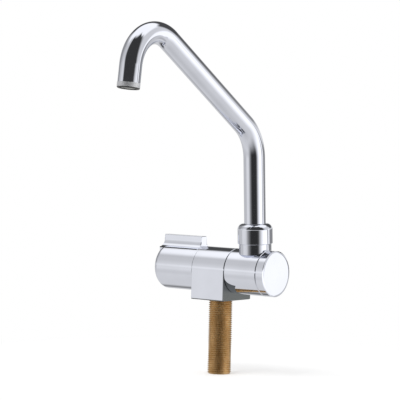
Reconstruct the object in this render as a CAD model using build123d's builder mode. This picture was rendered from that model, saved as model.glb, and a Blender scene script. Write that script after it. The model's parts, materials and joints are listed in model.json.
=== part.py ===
from build123d import *
import os
from math import asin, cos, degrees, radians, sin, sqrt

os.makedirs("parts", exist_ok=True)

# Folding cold water tap, in millimetres and degrees. The origin is the centre of the block's
# bottom face, on the worktop. +X runs along the body towards the drum that carries the spout,
# -Y is the front, where the spout points, and +Z is up.

# Body: block, handle, drum and end cap
body_radius = 20.0
axis_height = 26.0
block_width = 35.5
handle_length = 45.0
drum_length = 34.0
cap_length = 8.2
seam_gap = 0.3
block_edge = 0.7
turned_edge = 0.4
cap_crown_width = 2.2
cap_crown_drop = 0.6
cap_rim_edge = 0.2

# Lever tab on the handle
handle_end_radius = 6.0
handle_wall = 3.5
handle_end_wall = 5.0
tab_height = 8.6
tab_thickness = 7.0
tab_draft = 0.25
tab_foot_radius = 6.8
tab_inset = 2.0
tab_end_inset = 0.7
tab_edge = 0.8

# Threaded shank below the worktop, a 1/2 inch pipe thread
thread_radius = 10.4775
thread_pitch = 1.814
thread_depth = 1.16
thread_crest = 0.3
shank_length = 66.0
shank_bore_radius = 6.5
shank_chamfer = 1.2
shank_root_radius = 8.33
shank_root_length = 8.0
shank_plenum = 1.5
seal_inner_radius = 11.5
seal_outer_radius = 15.5
seal_thickness = 1.5
seal_clearance = 0.1

# Spout: neck, swivel nut, tube and nozzle
spout_from_block = 19.95
lean_angle = 3.3
neck_radius = 14.2
neck_rise = 5.4
neck_skirt = 3.6
nut_radius = 15.3
nut_height = 17.55
nut_shoulder = 5.2
nut_edge = 0.4
nut_seam = 0.25
tube_radius = 9.4
tube_wall = 1.0
tube_clearance = 0.3
bend_1_height = 100.3
bend_1_radius = 38.0
bend_1_angle = 53.4
arm_length = 124.7
bend_2_radius = 31.0
bend_2_angle = 116.0
tail_length = 14.7
nozzle_length = 4.8
nozzle_lip = 0.1
nozzle_edge = 1.2
nozzle_bore_radius = 7.2
nozzle_spigot_length = 5.0

# Motion
fold_upright = 3.3
fold_range = 90.0
handle_range = 90.0

# Fits
running_clearance = 0.05
turning_clearance = 0.3
fit_clearance = 0.1

# Valve cartridge, screwed into the handle side of the block
valve_pocket_depth = 15.0
valve_thread_radius = 10.4
valve_thread_length = 8.0
valve_chamber_radius = 9.8
housing_radius = 8.4
housing_cavity_radius = 7.0
housing_floor_gap = 1.0
hex_across_flats = 24.0
hex_length = 5.0
housing_neck_radius = 6.8
housing_neck_length = 5.0
housing_ring_radius = 11.8
housing_ring_width = 1.6
window_width = 7.5
seat_bore_radius = 4.0
seat_seal_inner_radius = 4.2
seat_seal_outer_radius = 6.2
seat_seal_length = 1.8
disc_thickness = 2.2
port_centre_radius = 2.6
port_width = 2.2
port_arc = 60.0
notch_width = 4.4
notch_depth = 1.3
tongue_width = 2.4
tongue_height = 0.8
spindle_radius = 4.0
spindle_foot_length = 2.0
spindle_ring_width = 1.6
spindle_ring_depth = 1.1
stop_washer_radius = 4.7
stop_washer_thickness = 1.5
stop_lug_radius = 6.5
stop_lug_width = 3.0
stop_wall = 1.7
circlip_thickness = 1.0
circlip_depth = 0.7
circlip_rim = 1.8
circlip_gap = 2.4
spline_teeth = 20
spline_tooth_width = 0.5
spline_tooth_depth = 0.35
spline_length = 13.0

# Handle fixing
adapter_radius = 6.5
adapter_length = 14.0
boss_radius = 10.0
boss_bore_spare = 3.0
boss_setback = 14.0
screw_radius = 2.5
screw_length = 8.0
screw_hex = 2.5
screw_hex_depth = 3.0
screw_angle = -45.0
screw_from_boss = 7.0

# Waterway through the block
riser_radius = 3.6
riser_offset = 3.0
bypass_radius = 1.7
bypass_circle_radius = 7.8
bypass_count = 5
bypass_step = 30.0

# Pivot that the drum turns on
pivot_thread_radius = 10.0
pivot_thread_length = 6.5
pivot_plenum = 2.0
journal_radius = 9.0
journal_waist_radius = 7.5
journal_bore_radius = 5.0
journal_ring_width = 2.4
journal_ring_depth = 1.5
journal_ring_from_port = 8.0
pivot_port_radius = 2.2
pivot_port_count = 4
chamber_radius = 12.5
chamber_half_length = 5.6
cap_socket_radius = 17.0
cap_socket_depth = 3.6
cap_spigot_length = 2.6
cap_wall = 3.0
cap_ring_width = 1.3
cap_ring_depth = 0.8
washer_outer_radius = 12.5
washer_recess_depth = 1.2
friction_washer_thickness = 1.2
retaining_washer_radius = 12.5
retaining_washer_thickness = 1.5
journal_tip = 1.6
pivot_circlip_thickness = 1.2
pivot_circlip_depth = 0.9
pivot_circlip_rim = 2.2
stop_pin_radius = 1.25
stop_pin_circle_radius = 15.8
stop_pin_angle = -45.0
stop_pin_seat = 6.0
stop_pin_reach = 2.0
stop_groove_spare = 0.5

# Spout joint on the drum's neck
neck_spigot_depth = 7.0
neck_spigot_radius = 8.0
neck_bore_radius = 5.0
neck_thread_radius = 12.0
neck_thread_length = 7.6
foot_radius = 8.0
neck_floor = 1.0
foot_socket_spare = 1.0
foot_bore_radius = 5.0
foot_flange_radius = 10.8
foot_flange_thickness = 3.0
foot_spigot_length = 8.0
foot_ring_width = 2.2
foot_ring_depth = 1.4
foot_ring_heights = (2.6, 7.6)
glide_ring_thickness = 1.5
flat_clearance = 0.05
straightener_thickness = 4.0
straightener_setback = 0.8
straightener_cell = 1.9
straightener_pitch = 2.4
straightener_count = 5

# Places along the body axis
block_face = block_width / 2
handle_mouth = -(block_face + seam_gap)
handle_end = handle_mouth - handle_length
drum_start = block_face + seam_gap
drum_end = drum_start + drum_length
cap_end = drum_end + cap_length
cap_rim = cap_end - cap_crown_drop
cap_face_radius = body_radius - cap_crown_width
spout_x = block_face + spout_from_block
valve_floor = -(block_face - valve_pocket_depth)
housing_start = valve_floor - housing_floor_gap
hex_end = -(block_face + hex_length)
housing_end = hex_end - housing_neck_length
fixed_disc_start = valve_floor - seat_seal_length
moving_disc_start = fixed_disc_start - disc_thickness
spindle_start = moving_disc_start - disc_thickness
spindle_shoulder = spindle_start - spindle_foot_length
cavity_end = spindle_shoulder - turning_clearance
stop_start = housing_end - turning_clearance
stop_end = stop_start - stop_washer_thickness
spindle_circlip_end = stop_end - circlip_thickness
spline_start = spindle_circlip_end - turning_clearance
spindle_end = spline_start - spline_length
boss_mouth = handle_mouth - boss_setback
handle_cavity_end = handle_end + handle_end_wall
boss_bore_end = boss_mouth - adapter_length - boss_bore_spare
screw_x = boss_mouth - screw_from_boss
pivot_floor = block_face - pivot_thread_length - pivot_plenum
trunnion_start = block_face - pivot_thread_length
chamber_start = spout_x - chamber_half_length
chamber_end = spout_x + chamber_half_length
cap_socket_floor = drum_end - cap_socket_depth
retaining_start = cap_socket_floor + friction_washer_thickness
pivot_circlip_start = retaining_start + retaining_washer_thickness
pivot_circlip_end = pivot_circlip_start + pivot_circlip_thickness
trunnion_end = pivot_circlip_end + journal_tip
washer_floor = drum_start + washer_recess_depth

# Radii that follow from the fits
handle_bore_radius = body_radius - handle_wall
housing_bore_radius = spindle_radius + running_clearance
drum_bore_radius = journal_radius + running_clearance
washer_recess_radius = washer_outer_radius + turning_clearance
neck_socket_radius = foot_radius + running_clearance
nut_hole_radius = tube_radius + tube_clearance
tube_bore_radius = tube_radius - tube_wall
moving_disc_radius = housing_cavity_radius - turning_clearance
stop_inner_radius = stop_washer_radius + turning_clearance

# Heights along the spout axis, above the body axis
neck_bottom = body_radius - neck_spigot_depth
neck_seat = body_radius - neck_skirt
neck_height = body_radius + neck_rise
neck_top = neck_height + neck_thread_length
neck_socket_floor = body_radius + neck_floor
foot_bottom = neck_socket_floor + foot_socket_spare
flange_bottom = neck_top + flat_clearance
flange_top = flange_bottom + foot_flange_thickness
nut_bottom = neck_height + nut_seam
nut_top = nut_bottom + nut_height
nut_ceiling = flange_top + glide_ring_thickness + flat_clearance

# Directions and sketch planes
axis_point = (0, 0, axis_height)
body_axis = Axis(axis_point, (1, 0, 0))
spout_foot_point = (spout_x, 0, axis_height)
spout_up = (0, -sin(radians(lean_angle)), cos(radians(lean_angle)))
spout_forward = (0, -cos(radians(lean_angle)), -sin(radians(lean_angle)))
spout_axis = Axis(spout_foot_point, spout_up)
spout_section = Plane(origin=spout_foot_point, x_dir=spout_forward, z_dir=(-1, 0, 0))


def cross_plane(x):
    """Plane square to the body axis at x, with +Y to the right and +Z up."""
    return Plane(origin=(x, 0, axis_height), x_dir=(0, 1, 0), z_dir=(1, 0, 0))


def half_plane(angle):
    """Plane that holds the body axis: x along it, y outwards at an angle from the rear."""
    normal = (0, -sin(radians(angle)), cos(radians(angle)))
    return Plane(origin=axis_point, x_dir=(1, 0, 0), z_dir=normal)


def spout_level(height):
    """Plane square to the spout axis at a height above the body axis."""
    return Plane(origin=spout_foot_point, x_dir=(1, 0, 0), z_dir=spout_up).offset(height)


axial_plane = half_plane(90)


# Block: an arch section with straight front and back, standing on the worktop
with BuildPart() as body_block:
    with BuildSketch(Plane.YZ.offset(-block_face)):
        with BuildLine():
            Line((-body_radius, axis_height), (-body_radius, 0))
            Line((-body_radius, 0), (body_radius, 0))
            Line((body_radius, 0), (body_radius, axis_height))
            CenterArc((0, axis_height), body_radius, 0, 180)
        make_face()
    extrude(amount=block_width)
    side_faces = body_block.faces().filter_by(Axis.X)
    foot_edges = body_block.edges().filter_by(Axis.X).group_by(Axis.Z)[0]
    fillet(side_faces.edges() + foot_edges, block_edge)
    # Pocket, chamber and seat for the valve, with a step for its sealing ring
    with BuildSketch(axial_plane):
        with BuildLine():
            Polyline(
                (-block_face, 0),
                (-block_face, housing_ring_radius),
                (-block_face + housing_ring_width, housing_ring_radius),
                (-block_face + housing_ring_width, valve_thread_radius),
                (-block_face + valve_thread_length, valve_thread_radius),
                (-block_face + valve_thread_length, valve_chamber_radius),
                (valve_floor, valve_chamber_radius),
                (valve_floor, seat_bore_radius),
                (riser_offset, seat_bore_radius),
                (riser_offset, 0),
                close=True,
            )
        make_face()
    revolve(axis=body_axis, mode=Mode.SUBTRACT)
    # Threaded pocket for the pivot
    with BuildSketch(cross_plane(pivot_floor)):
        Circle(pivot_thread_radius)
    extrude(amount=block_face - pivot_floor, mode=Mode.SUBTRACT)
    # Passages round the riser, from the valve chamber to the pivot pocket
    with BuildSketch(cross_plane(valve_floor)):
        with PolarLocations(bypass_circle_radius, bypass_count, bypass_step, bypass_count * bypass_step):
            Circle(bypass_radius)
    extrude(amount=pivot_floor - valve_floor, mode=Mode.SUBTRACT)
    # Socket for the shank and the riser above it
    with BuildSketch():
        Circle(shank_root_radius)
    extrude(amount=shank_root_length + shank_plenum, mode=Mode.SUBTRACT)
    with BuildSketch(Plane.XY.offset(shank_root_length + shank_plenum)):
        with Locations((riser_offset, 0)):
            Circle(riser_radius)
    extrude(amount=axis_height - shank_root_length - shank_plenum, mode=Mode.SUBTRACT)
    # Ring groove for the worktop seal
    with BuildSketch():
        Circle(seal_outer_radius)
        Circle(seal_inner_radius, mode=Mode.SUBTRACT)
    extrude(amount=seal_thickness, mode=Mode.SUBTRACT)
    # Seat of the fold stop pin
    stop_pin_place = (
        stop_pin_circle_radius * cos(radians(stop_pin_angle)),
        stop_pin_circle_radius * sin(radians(stop_pin_angle)),
    )
    with BuildSketch(cross_plane(block_face - stop_pin_seat)):
        with Locations(stop_pin_place):
            Circle(stop_pin_radius)
    extrude(amount=stop_pin_seat, mode=Mode.SUBTRACT)
body_block.part.label = "body_block"
export_step(body_block.part, "parts/body_block.step")

# Shank: its thread is drawn as a row of grooves, with the first and last crests whole
groove_width = thread_pitch - thread_crest
groove_count = int((shank_length - shank_chamfer - 2 * thread_crest) / thread_pitch)
first_groove = -(shank_length - shank_chamfer - groove_count * thread_pitch) + thread_crest
shank_outline = [
    (shank_bore_radius, shank_root_length),
    (shank_root_radius, shank_root_length),
    (shank_root_radius, 0),
    (thread_radius, 0),
]
for groove in range(groove_count):
    groove_top = first_groove - groove * thread_pitch
    shank_outline += [
        (thread_radius, groove_top),
        (thread_radius - thread_depth, groove_top - groove_width / 2),
        (thread_radius, groove_top - groove_width),
    ]
shank_outline += [
    (thread_radius, -shank_length + shank_chamfer),
    (thread_radius - shank_chamfer, -shank_length),
    (shank_bore_radius, -shank_length),
]
with BuildPart() as threaded_shank:
    with BuildSketch(Plane.XZ):
        with BuildLine():
            Polyline(*shank_outline, close=True)
        make_face()
    revolve(axis=Axis.Z)
threaded_shank.part.label = "threaded_shank"
export_step(threaded_shank.part, "parts/threaded_shank.step")

# Worktop seal, flush with the bottom of the block
with BuildPart() as base_seal:
    with BuildSketch():
        Circle(seal_outer_radius - seal_clearance)
        Circle(seal_inner_radius + seal_clearance, mode=Mode.SUBTRACT)
    extrude(amount=seal_thickness)
base_seal.part.label = "base_seal"
export_step(base_seal.part, "parts/base_seal.step")

# Valve housing, with side windows, a hexagon and the raised stop of the quarter turn
stop_half_angle = degrees(asin((stop_lug_width / 2 + turning_clearance) / stop_inner_radius))
stop_arc = 360 - handle_range - 2 * stop_half_angle
with BuildPart() as cartridge_housing:
    with BuildSketch(axial_plane):
        with BuildLine():
            Polyline(
                (housing_start, housing_cavity_radius),
                (housing_start, housing_radius),
                (-block_face + valve_thread_length, housing_radius),
                (-block_face + valve_thread_length, valve_thread_radius),
                (-block_face, valve_thread_radius),
                (-block_face, housing_neck_radius),
                (housing_end, housing_neck_radius),
                (housing_end, housing_bore_radius),
                (cavity_end, housing_bore_radius),
                (cavity_end, housing_cavity_radius),
                close=True,
            )
        make_face()
    revolve(axis=body_axis)
    with BuildSketch(cross_plane(hex_end)):
        RegularPolygon(hex_across_flats / 2, 6, major_radius=False)
        Circle(housing_neck_radius, mode=Mode.SUBTRACT)
    extrude(amount=hex_length)
    with BuildSketch(half_plane(90 + handle_range + stop_half_angle)):
        with BuildLine():
            Polyline(
                (housing_end, stop_inner_radius),
                (housing_end, housing_neck_radius),
                (housing_end - stop_wall, housing_neck_radius),
                (housing_end - stop_wall, stop_inner_radius),
                close=True,
            )
        make_face()
    revolve(axis=body_axis, revolution_arc=stop_arc)
    with BuildSketch(cross_plane(spindle_start)):
        Rectangle(2 * housing_radius, window_width)
        Circle(housing_cavity_radius, mode=Mode.SUBTRACT)
    extrude(amount=disc_thickness, mode=Mode.SUBTRACT)
cartridge_housing.part.label = "cartridge_housing"
export_step(cartridge_housing.part, "parts/cartridge_housing.step")

# Sealing ring under the housing's hexagon
with BuildPart() as housing_ring:
    with BuildSketch(cross_plane(-block_face)):
        Circle(housing_ring_radius - seal_clearance)
        Circle(valve_thread_radius + seal_clearance, mode=Mode.SUBTRACT)
    extrude(amount=housing_ring_width)
housing_ring.part.label = "housing_ring"
export_step(housing_ring.part, "parts/housing_ring.step")

# Seat seal between the block and the fixed disc
with BuildPart() as seat_seal:
    with BuildSketch(axial_plane):
        with BuildLine():
            Polyline(
                (valve_floor, seat_seal_inner_radius),
                (valve_floor, seat_seal_outer_radius),
                (housing_start, seat_seal_outer_radius),
                (housing_start, housing_cavity_radius),
                (fixed_disc_start, housing_cavity_radius),
                (fixed_disc_start, seat_seal_inner_radius),
                close=True,
            )
        make_face()
    revolve(axis=body_axis)
seat_seal.part.label = "seat_seal"
export_step(seat_seal.part, "parts/seat_seal.step")

# Fixed ceramic disc with its two curved ports, above and below the axis
with BuildPart() as fixed_disc:
    with BuildSketch(cross_plane(moving_disc_start)):
        Circle(housing_cavity_radius)
        for port_middle in (90, 270):
            port_line = CenterArc(
                (0, 0), port_centre_radius, port_middle - port_arc / 2, port_arc, mode=Mode.PRIVATE
            )
            SlotArc(port_line, port_width, mode=Mode.SUBTRACT)
    extrude(amount=disc_thickness)
fixed_disc.part.label = "fixed_disc"
export_step(fixed_disc.part, "parts/fixed_disc.step")

# Turning ceramic disc: its side notches meet the ports after a quarter turn
notch_reach = moving_disc_radius - notch_depth
with BuildPart() as moving_disc:
    with BuildSketch(cross_plane(spindle_start)):
        Circle(moving_disc_radius)
        with Locations((notch_depth + notch_reach / 2, 0), (-notch_depth - notch_reach / 2, 0)):
            Rectangle(notch_reach, notch_width, mode=Mode.SUBTRACT)
    extrude(amount=disc_thickness)
    with BuildSketch(cross_plane(spindle_start)):
        Rectangle(tongue_width, 2 * moving_disc_radius)
    extrude(amount=tongue_height, mode=Mode.SUBTRACT)
moving_disc.part.label = "moving_disc"
export_step(moving_disc.part, "parts/moving_disc.step")

# Spindle: foot with a driving tongue, shaft with ring and clip grooves, splined end
clip_groove_radius = spindle_radius - circlip_depth
ring_groove_radius = spindle_radius - spindle_ring_depth
ring_groove_start = hex_end + spindle_ring_width / 2
with BuildPart() as cartridge_spindle:
    with BuildSketch(axial_plane):
        with BuildLine():
            Polyline(
                (spindle_start, 0),
                (spindle_start, moving_disc_radius),
                (spindle_shoulder, moving_disc_radius),
                (spindle_shoulder, spindle_radius),
                (ring_groove_start, spindle_radius),
                (ring_groove_start, ring_groove_radius),
                (ring_groove_start - spindle_ring_width, ring_groove_radius),
                (ring_groove_start - spindle_ring_width, spindle_radius),
                (stop_end, spindle_radius),
                (stop_end, clip_groove_radius),
                (spindle_circlip_end, clip_groove_radius),
                (spindle_circlip_end, spindle_radius),
                (spindle_end, spindle_radius),
                (spindle_end, 0),
                close=True,
            )
        make_face()
    revolve(axis=body_axis)
    with BuildSketch(cross_plane(spindle_start)):
        Rectangle(tongue_width - fit_clearance, 2 * moving_disc_radius - tongue_width)
    extrude(amount=tongue_height - fit_clearance)
    with BuildSketch(cross_plane(spindle_end)):
        with PolarLocations(spindle_radius, spline_teeth):
            Rectangle(2 * spline_tooth_depth, spline_tooth_width)
    extrude(amount=spline_length, mode=Mode.SUBTRACT)
    chamfer(cartridge_spindle.faces().sort_by(Axis.X)[0].edges(), spline_tooth_depth / 2)
cartridge_spindle.part.label = "cartridge_spindle"
export_step(cartridge_spindle.part, "parts/cartridge_spindle.step")

# Spindle sealing ring
with BuildPart() as spindle_ring:
    with BuildSketch(cross_plane(ring_groove_start - spindle_ring_width)):
        Circle(spindle_radius)
        Circle(ring_groove_radius, mode=Mode.SUBTRACT)
    extrude(amount=spindle_ring_width)
spindle_ring.part.label = "spindle_ring"
export_step(spindle_ring.part, "parts/spindle_ring.step")

# Stop washer with the lug that runs against the housing's raised stop
with BuildPart() as stop_washer:
    with BuildSketch(cross_plane(stop_end)):
        Circle(stop_washer_radius)
        with Locations((0, stop_lug_radius / 2)):
            Rectangle(stop_lug_width, stop_lug_radius)
        Circle(spindle_radius, mode=Mode.SUBTRACT)
    extrude(amount=stop_washer_thickness)
stop_washer.part.label = "stop_washer"
export_step(stop_washer.part, "parts/stop_washer.step")

# Clip that holds the spindle in the housing
with BuildPart() as spindle_circlip:
    with BuildSketch(cross_plane(spindle_circlip_end)):
        Circle(clip_groove_radius + circlip_rim)
        Circle(clip_groove_radius, mode=Mode.SUBTRACT)
        with Locations((0, -clip_groove_radius - circlip_rim / 2)):
            Rectangle(circlip_gap, 2 * circlip_rim, mode=Mode.SUBTRACT)
    extrude(amount=circlip_thickness)
spindle_circlip.part.label = "spindle_circlip"
export_step(spindle_circlip.part, "parts/spindle_circlip.step")

# Handle: a cup with a closed rounded end, a boss for the spindle and the lever tab on top
screw_plane = Plane(
    origin=(screw_x, 0, axis_height),
    x_dir=(1, 0, 0),
    z_dir=(0, cos(radians(screw_angle)), sin(radians(screw_angle))),
)
tab_half = tab_thickness / 2
foot_half = tab_half + tab_draft
foot_centre_y = foot_half + tab_foot_radius
foot_crease_z = sqrt(body_radius**2 - foot_centre_y**2)
foot_centre_z = foot_crease_z + tab_foot_radius
foot_middle_angle = 135
tab_top = body_radius + tab_height
tab_root = handle_bore_radius + fit_clearance


def foot_arc_point(side, angle):
    """Point of the tab's foot fillet, on one side, at an angle about the fillet's centre."""
    y = foot_centre_y - tab_foot_radius * cos(radians(180 - angle))
    z = foot_centre_z - tab_foot_radius * sin(radians(180 - angle))
    return (side * y, z)


with BuildPart() as handle:
    with BuildSketch(axial_plane) as handle_section:
        with BuildLine():
            Polyline(
                (handle_mouth, handle_bore_radius),
                (handle_mouth, body_radius),
                (handle_end, body_radius),
                (handle_end, 0),
                (boss_bore_end, 0),
                (boss_bore_end, adapter_radius),
                (boss_mouth, adapter_radius),
                (boss_mouth, boss_radius),
                (handle_cavity_end, boss_radius),
                (handle_cavity_end, handle_bore_radius),
                close=True,
            )
        make_face()
        fillet(handle_section.vertices().group_by(Axis.Y)[-1].sort_by(Axis.X)[0], handle_end_radius)
        fillet(handle_section.vertices().group_by(Axis.Y)[-1].sort_by(Axis.X)[-1], turned_edge)
    revolve(axis=body_axis)
    with BuildSketch(cross_plane(handle_end + tab_end_inset)):
        with BuildLine():
            front_top = (-tab_half, tab_top)
            back_top = (tab_half, tab_top)
            front_foot = (-foot_centre_y, foot_crease_z)
            back_foot = (foot_centre_y, foot_crease_z)
            Line(front_top, back_top)
            Line(back_top, (foot_half, foot_centre_z))
            ThreePointArc((foot_half, foot_centre_z), foot_arc_point(1, foot_middle_angle), back_foot)
            Line(back_foot, (back_foot[0], 0))
            Line((back_foot[0], 0), (front_foot[0], 0))
            Line((front_foot[0], 0), front_foot)
            ThreePointArc(front_foot, foot_arc_point(-1, foot_middle_angle), (-foot_half, foot_centre_z))
            Line((-foot_half, foot_centre_z), front_top)
        make_face()
        Circle(tab_root, mode=Mode.SUBTRACT)
    extrude(amount=handle_length - tab_inset - tab_end_inset)
    tab_edges = handle.faces().filter_by(Axis.Z).sort_by(Axis.Z)[-1].edges()
    fillet(tab_edges, tab_edge)
    with BuildSketch(screw_plane):
        Circle(screw_radius)
    extrude(amount=body_radius, mode=Mode.SUBTRACT)
handle.part.label = "handle"
export_step(handle.part, "parts/handle.step")

# Splined insert that joins the handle's boss to the spindle
with BuildPart() as handle_adapter:
    with BuildSketch(cross_plane(boss_mouth - adapter_length)):
        Circle(adapter_radius)
        Circle(spindle_radius, mode=Mode.SUBTRACT)
    extrude(amount=adapter_length)
    with BuildSketch(screw_plane):
        Circle(screw_radius + fit_clearance)
    extrude(amount=body_radius, mode=Mode.SUBTRACT)
handle_adapter.part.label = "handle_adapter"
export_step(handle_adapter.part, "parts/handle_adapter.step")

# Grub screw, from the spindle out through the boss
with BuildPart() as handle_screw:
    with BuildSketch(screw_plane.offset(spindle_radius)):
        Circle(screw_radius)
    extrude(amount=screw_length)
    with BuildSketch(screw_plane.offset(spindle_radius + screw_length)):
        RegularPolygon(screw_hex / 2, 6, major_radius=False)
    extrude(amount=-screw_hex_depth, mode=Mode.SUBTRACT)
handle_screw.part.label = "handle_screw"
export_step(handle_screw.part, "parts/handle_screw.step")

# Trunnion: hollow pivot screwed into the block, ported where the spout stands
left_ring = spout_x - journal_ring_from_port - journal_ring_width
right_ring = spout_x + journal_ring_from_port - journal_ring_width / 2
ring_seat_radius = journal_radius - journal_ring_depth
pivot_clip_radius = journal_radius - pivot_circlip_depth
with BuildPart() as trunnion:
    with BuildSketch(axial_plane):
        with BuildLine():
            Polyline(
                (trunnion_start, journal_bore_radius),
                (trunnion_start, pivot_thread_radius),
                (block_face, pivot_thread_radius),
                (block_face, journal_radius),
                (left_ring, journal_radius),
                (left_ring, ring_seat_radius),
                (left_ring + journal_ring_width, ring_seat_radius),
                (left_ring + journal_ring_width, journal_radius),
                (chamber_start, journal_radius),
                (chamber_start + fit_clearance, journal_waist_radius),
                (chamber_end - fit_clearance, journal_waist_radius),
                (chamber_end, journal_radius),
                (right_ring, journal_radius),
                (right_ring, ring_seat_radius),
                (right_ring + journal_ring_width, ring_seat_radius),
                (right_ring + journal_ring_width, journal_radius),
                (pivot_circlip_start, journal_radius),
                (pivot_circlip_start, pivot_clip_radius),
                (pivot_circlip_end, pivot_clip_radius),
                (pivot_circlip_end, journal_radius),
                (trunnion_end, journal_radius),
                (trunnion_end, 0),
                (chamber_end, 0),
                (chamber_end, journal_bore_radius),
                close=True,
            )
        make_face()
    revolve(axis=body_axis)
    for port in range(pivot_port_count):
        port_direction = radians(360 / pivot_port_count * port)
        port_plane = Plane(
            origin=(spout_x, 0, axis_height),
            x_dir=(1, 0, 0),
            z_dir=(0, cos(port_direction), sin(port_direction)),
        )
        with BuildSketch(port_plane):
            Circle(pivot_port_radius)
        extrude(amount=journal_radius, mode=Mode.SUBTRACT)
trunnion.part.label = "trunnion"
export_step(trunnion.part, "parts/trunnion.step")

# The two rings that seal the drum on the trunnion
with BuildPart() as trunnion_rings:
    for ring_start in (left_ring, right_ring):
        with BuildSketch(cross_plane(ring_start)):
            Circle(journal_radius)
            Circle(ring_seat_radius, mode=Mode.SUBTRACT)
        extrude(amount=journal_ring_width)
trunnion_rings.part.label = "trunnion_rings"
export_step(trunnion_rings.part, "parts/trunnion_rings.step")

# Thrust washer that keeps the seam open between the block and the drum
with BuildPart() as thrust_washer:
    with BuildSketch(cross_plane(block_face)):
        Circle(washer_outer_radius)
        Circle(journal_radius + fit_clearance, mode=Mode.SUBTRACT)
    extrude(amount=seam_gap + washer_recess_depth - flat_clearance)
thrust_washer.part.label = "thrust_washer"
export_step(thrust_washer.part, "parts/thrust_washer.step")

# Fold stop pin, pressed into the block
with BuildPart() as fold_stop_pin:
    with BuildSketch(cross_plane(block_face - stop_pin_seat)):
        with Locations(stop_pin_place):
            Circle(stop_pin_radius)
    extrude(amount=stop_pin_seat + seam_gap + stop_pin_reach)
fold_stop_pin.part.label = "fold_stop_pin"
export_step(fold_stop_pin.part, "parts/fold_stop_pin.step")

# Spring washer that holds the drum where it is put
with BuildPart() as friction_washer:
    with BuildSketch(cross_plane(cap_socket_floor + flat_clearance)):
        Circle(retaining_washer_radius)
        Circle(journal_radius + fit_clearance, mode=Mode.SUBTRACT)
    extrude(amount=friction_washer_thickness - flat_clearance)
friction_washer.part.label = "friction_washer"
export_step(friction_washer.part, "parts/friction_washer.step")

# Flat washer under the clip
with BuildPart() as retaining_washer:
    with BuildSketch(cross_plane(retaining_start)):
        Circle(retaining_washer_radius)
        Circle(journal_radius + fit_clearance, mode=Mode.SUBTRACT)
    extrude(amount=retaining_washer_thickness)
retaining_washer.part.label = "retaining_washer"
export_step(retaining_washer.part, "parts/retaining_washer.step")

# Clip at the trunnion's end
with BuildPart() as trunnion_circlip:
    with BuildSketch(cross_plane(pivot_circlip_start)):
        Circle(pivot_clip_radius + pivot_circlip_rim)
        Circle(pivot_clip_radius, mode=Mode.SUBTRACT)
        with Locations((0, -pivot_clip_radius - pivot_circlip_rim / 2)):
            Rectangle(circlip_gap, 2 * pivot_circlip_rim, mode=Mode.SUBTRACT)
    extrude(amount=pivot_circlip_thickness)
trunnion_circlip.part.label = "trunnion_circlip"
export_step(trunnion_circlip.part, "parts/trunnion_circlip.step")

# Drum: turns on the trunnion, with a water chamber and an arc groove for the stop pin
pin_swing = degrees((stop_pin_radius + turning_clearance) / stop_pin_circle_radius)
groove_first = stop_pin_angle - (fold_range - fold_upright) - pin_swing
groove_arc = fold_range + 2 * pin_swing
groove_half_width = stop_pin_radius + turning_clearance
groove_floor = drum_start + stop_pin_reach + stop_groove_spare
with BuildPart() as spout_drum:
    with BuildSketch(axial_plane) as drum_section:
        with BuildLine():
            Polyline(
                (drum_start, washer_recess_radius),
                (drum_start, body_radius),
                (drum_end, body_radius),
                (drum_end, cap_socket_radius),
                (cap_socket_floor, cap_socket_radius),
                (cap_socket_floor, drum_bore_radius),
                (chamber_end, drum_bore_radius),
                (chamber_end, chamber_radius),
                (chamber_start, chamber_radius),
                (chamber_start, drum_bore_radius),
                (washer_floor, drum_bore_radius),
                (washer_floor, washer_recess_radius),
                close=True,
            )
        make_face()
        fillet(drum_section.vertices().group_by(Axis.Y)[-1], turned_edge)
    revolve(axis=body_axis)
    with BuildSketch(half_plane(groove_first)):
        with BuildLine():
            Polyline(
                (drum_start, stop_pin_circle_radius - groove_half_width),
                (drum_start, stop_pin_circle_radius + groove_half_width),
                (groove_floor, stop_pin_circle_radius + groove_half_width),
                (groove_floor, stop_pin_circle_radius - groove_half_width),
                close=True,
            )
        make_face()
    revolve(axis=body_axis, revolution_arc=groove_arc, mode=Mode.SUBTRACT)
    with BuildSketch(spout_level(neck_bottom)):
        Circle(neck_spigot_radius)
    extrude(amount=body_radius, mode=Mode.SUBTRACT)
    with BuildSketch(spout_level(0)):
        Circle(neck_bore_radius)
    extrude(amount=neck_bottom, mode=Mode.SUBTRACT)
spout_drum.part.label = "spout_drum"
export_step(spout_drum.part, "parts/spout_drum.step")

# Neck: saddled on the drum, with a thread for the nut and a socket for the spout's foot
with BuildPart() as outlet_neck:
    with BuildSketch(spout_level(neck_seat)):
        Circle(neck_radius)
    extrude(amount=neck_height - neck_seat)
    with BuildSketch(cross_plane(drum_start)):
        Circle(body_radius)
    extrude(amount=drum_length, mode=Mode.SUBTRACT)
    with BuildSketch(spout_level(neck_bottom)):
        Circle(neck_spigot_radius)
    extrude(amount=neck_height - neck_bottom)
    with BuildSketch(spout_level(neck_height)):
        Circle(neck_thread_radius)
    extrude(amount=neck_thread_length)
    with BuildSketch(spout_level(neck_socket_floor)):
        Circle(neck_socket_radius)
    extrude(amount=neck_top - neck_socket_floor, mode=Mode.SUBTRACT)
    with BuildSketch(spout_level(neck_bottom)):
        Circle(neck_bore_radius)
    extrude(amount=neck_socket_floor - neck_bottom, mode=Mode.SUBTRACT)
outlet_neck.part.label = "outlet_neck"
export_step(outlet_neck.part, "parts/outlet_neck.step")

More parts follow.
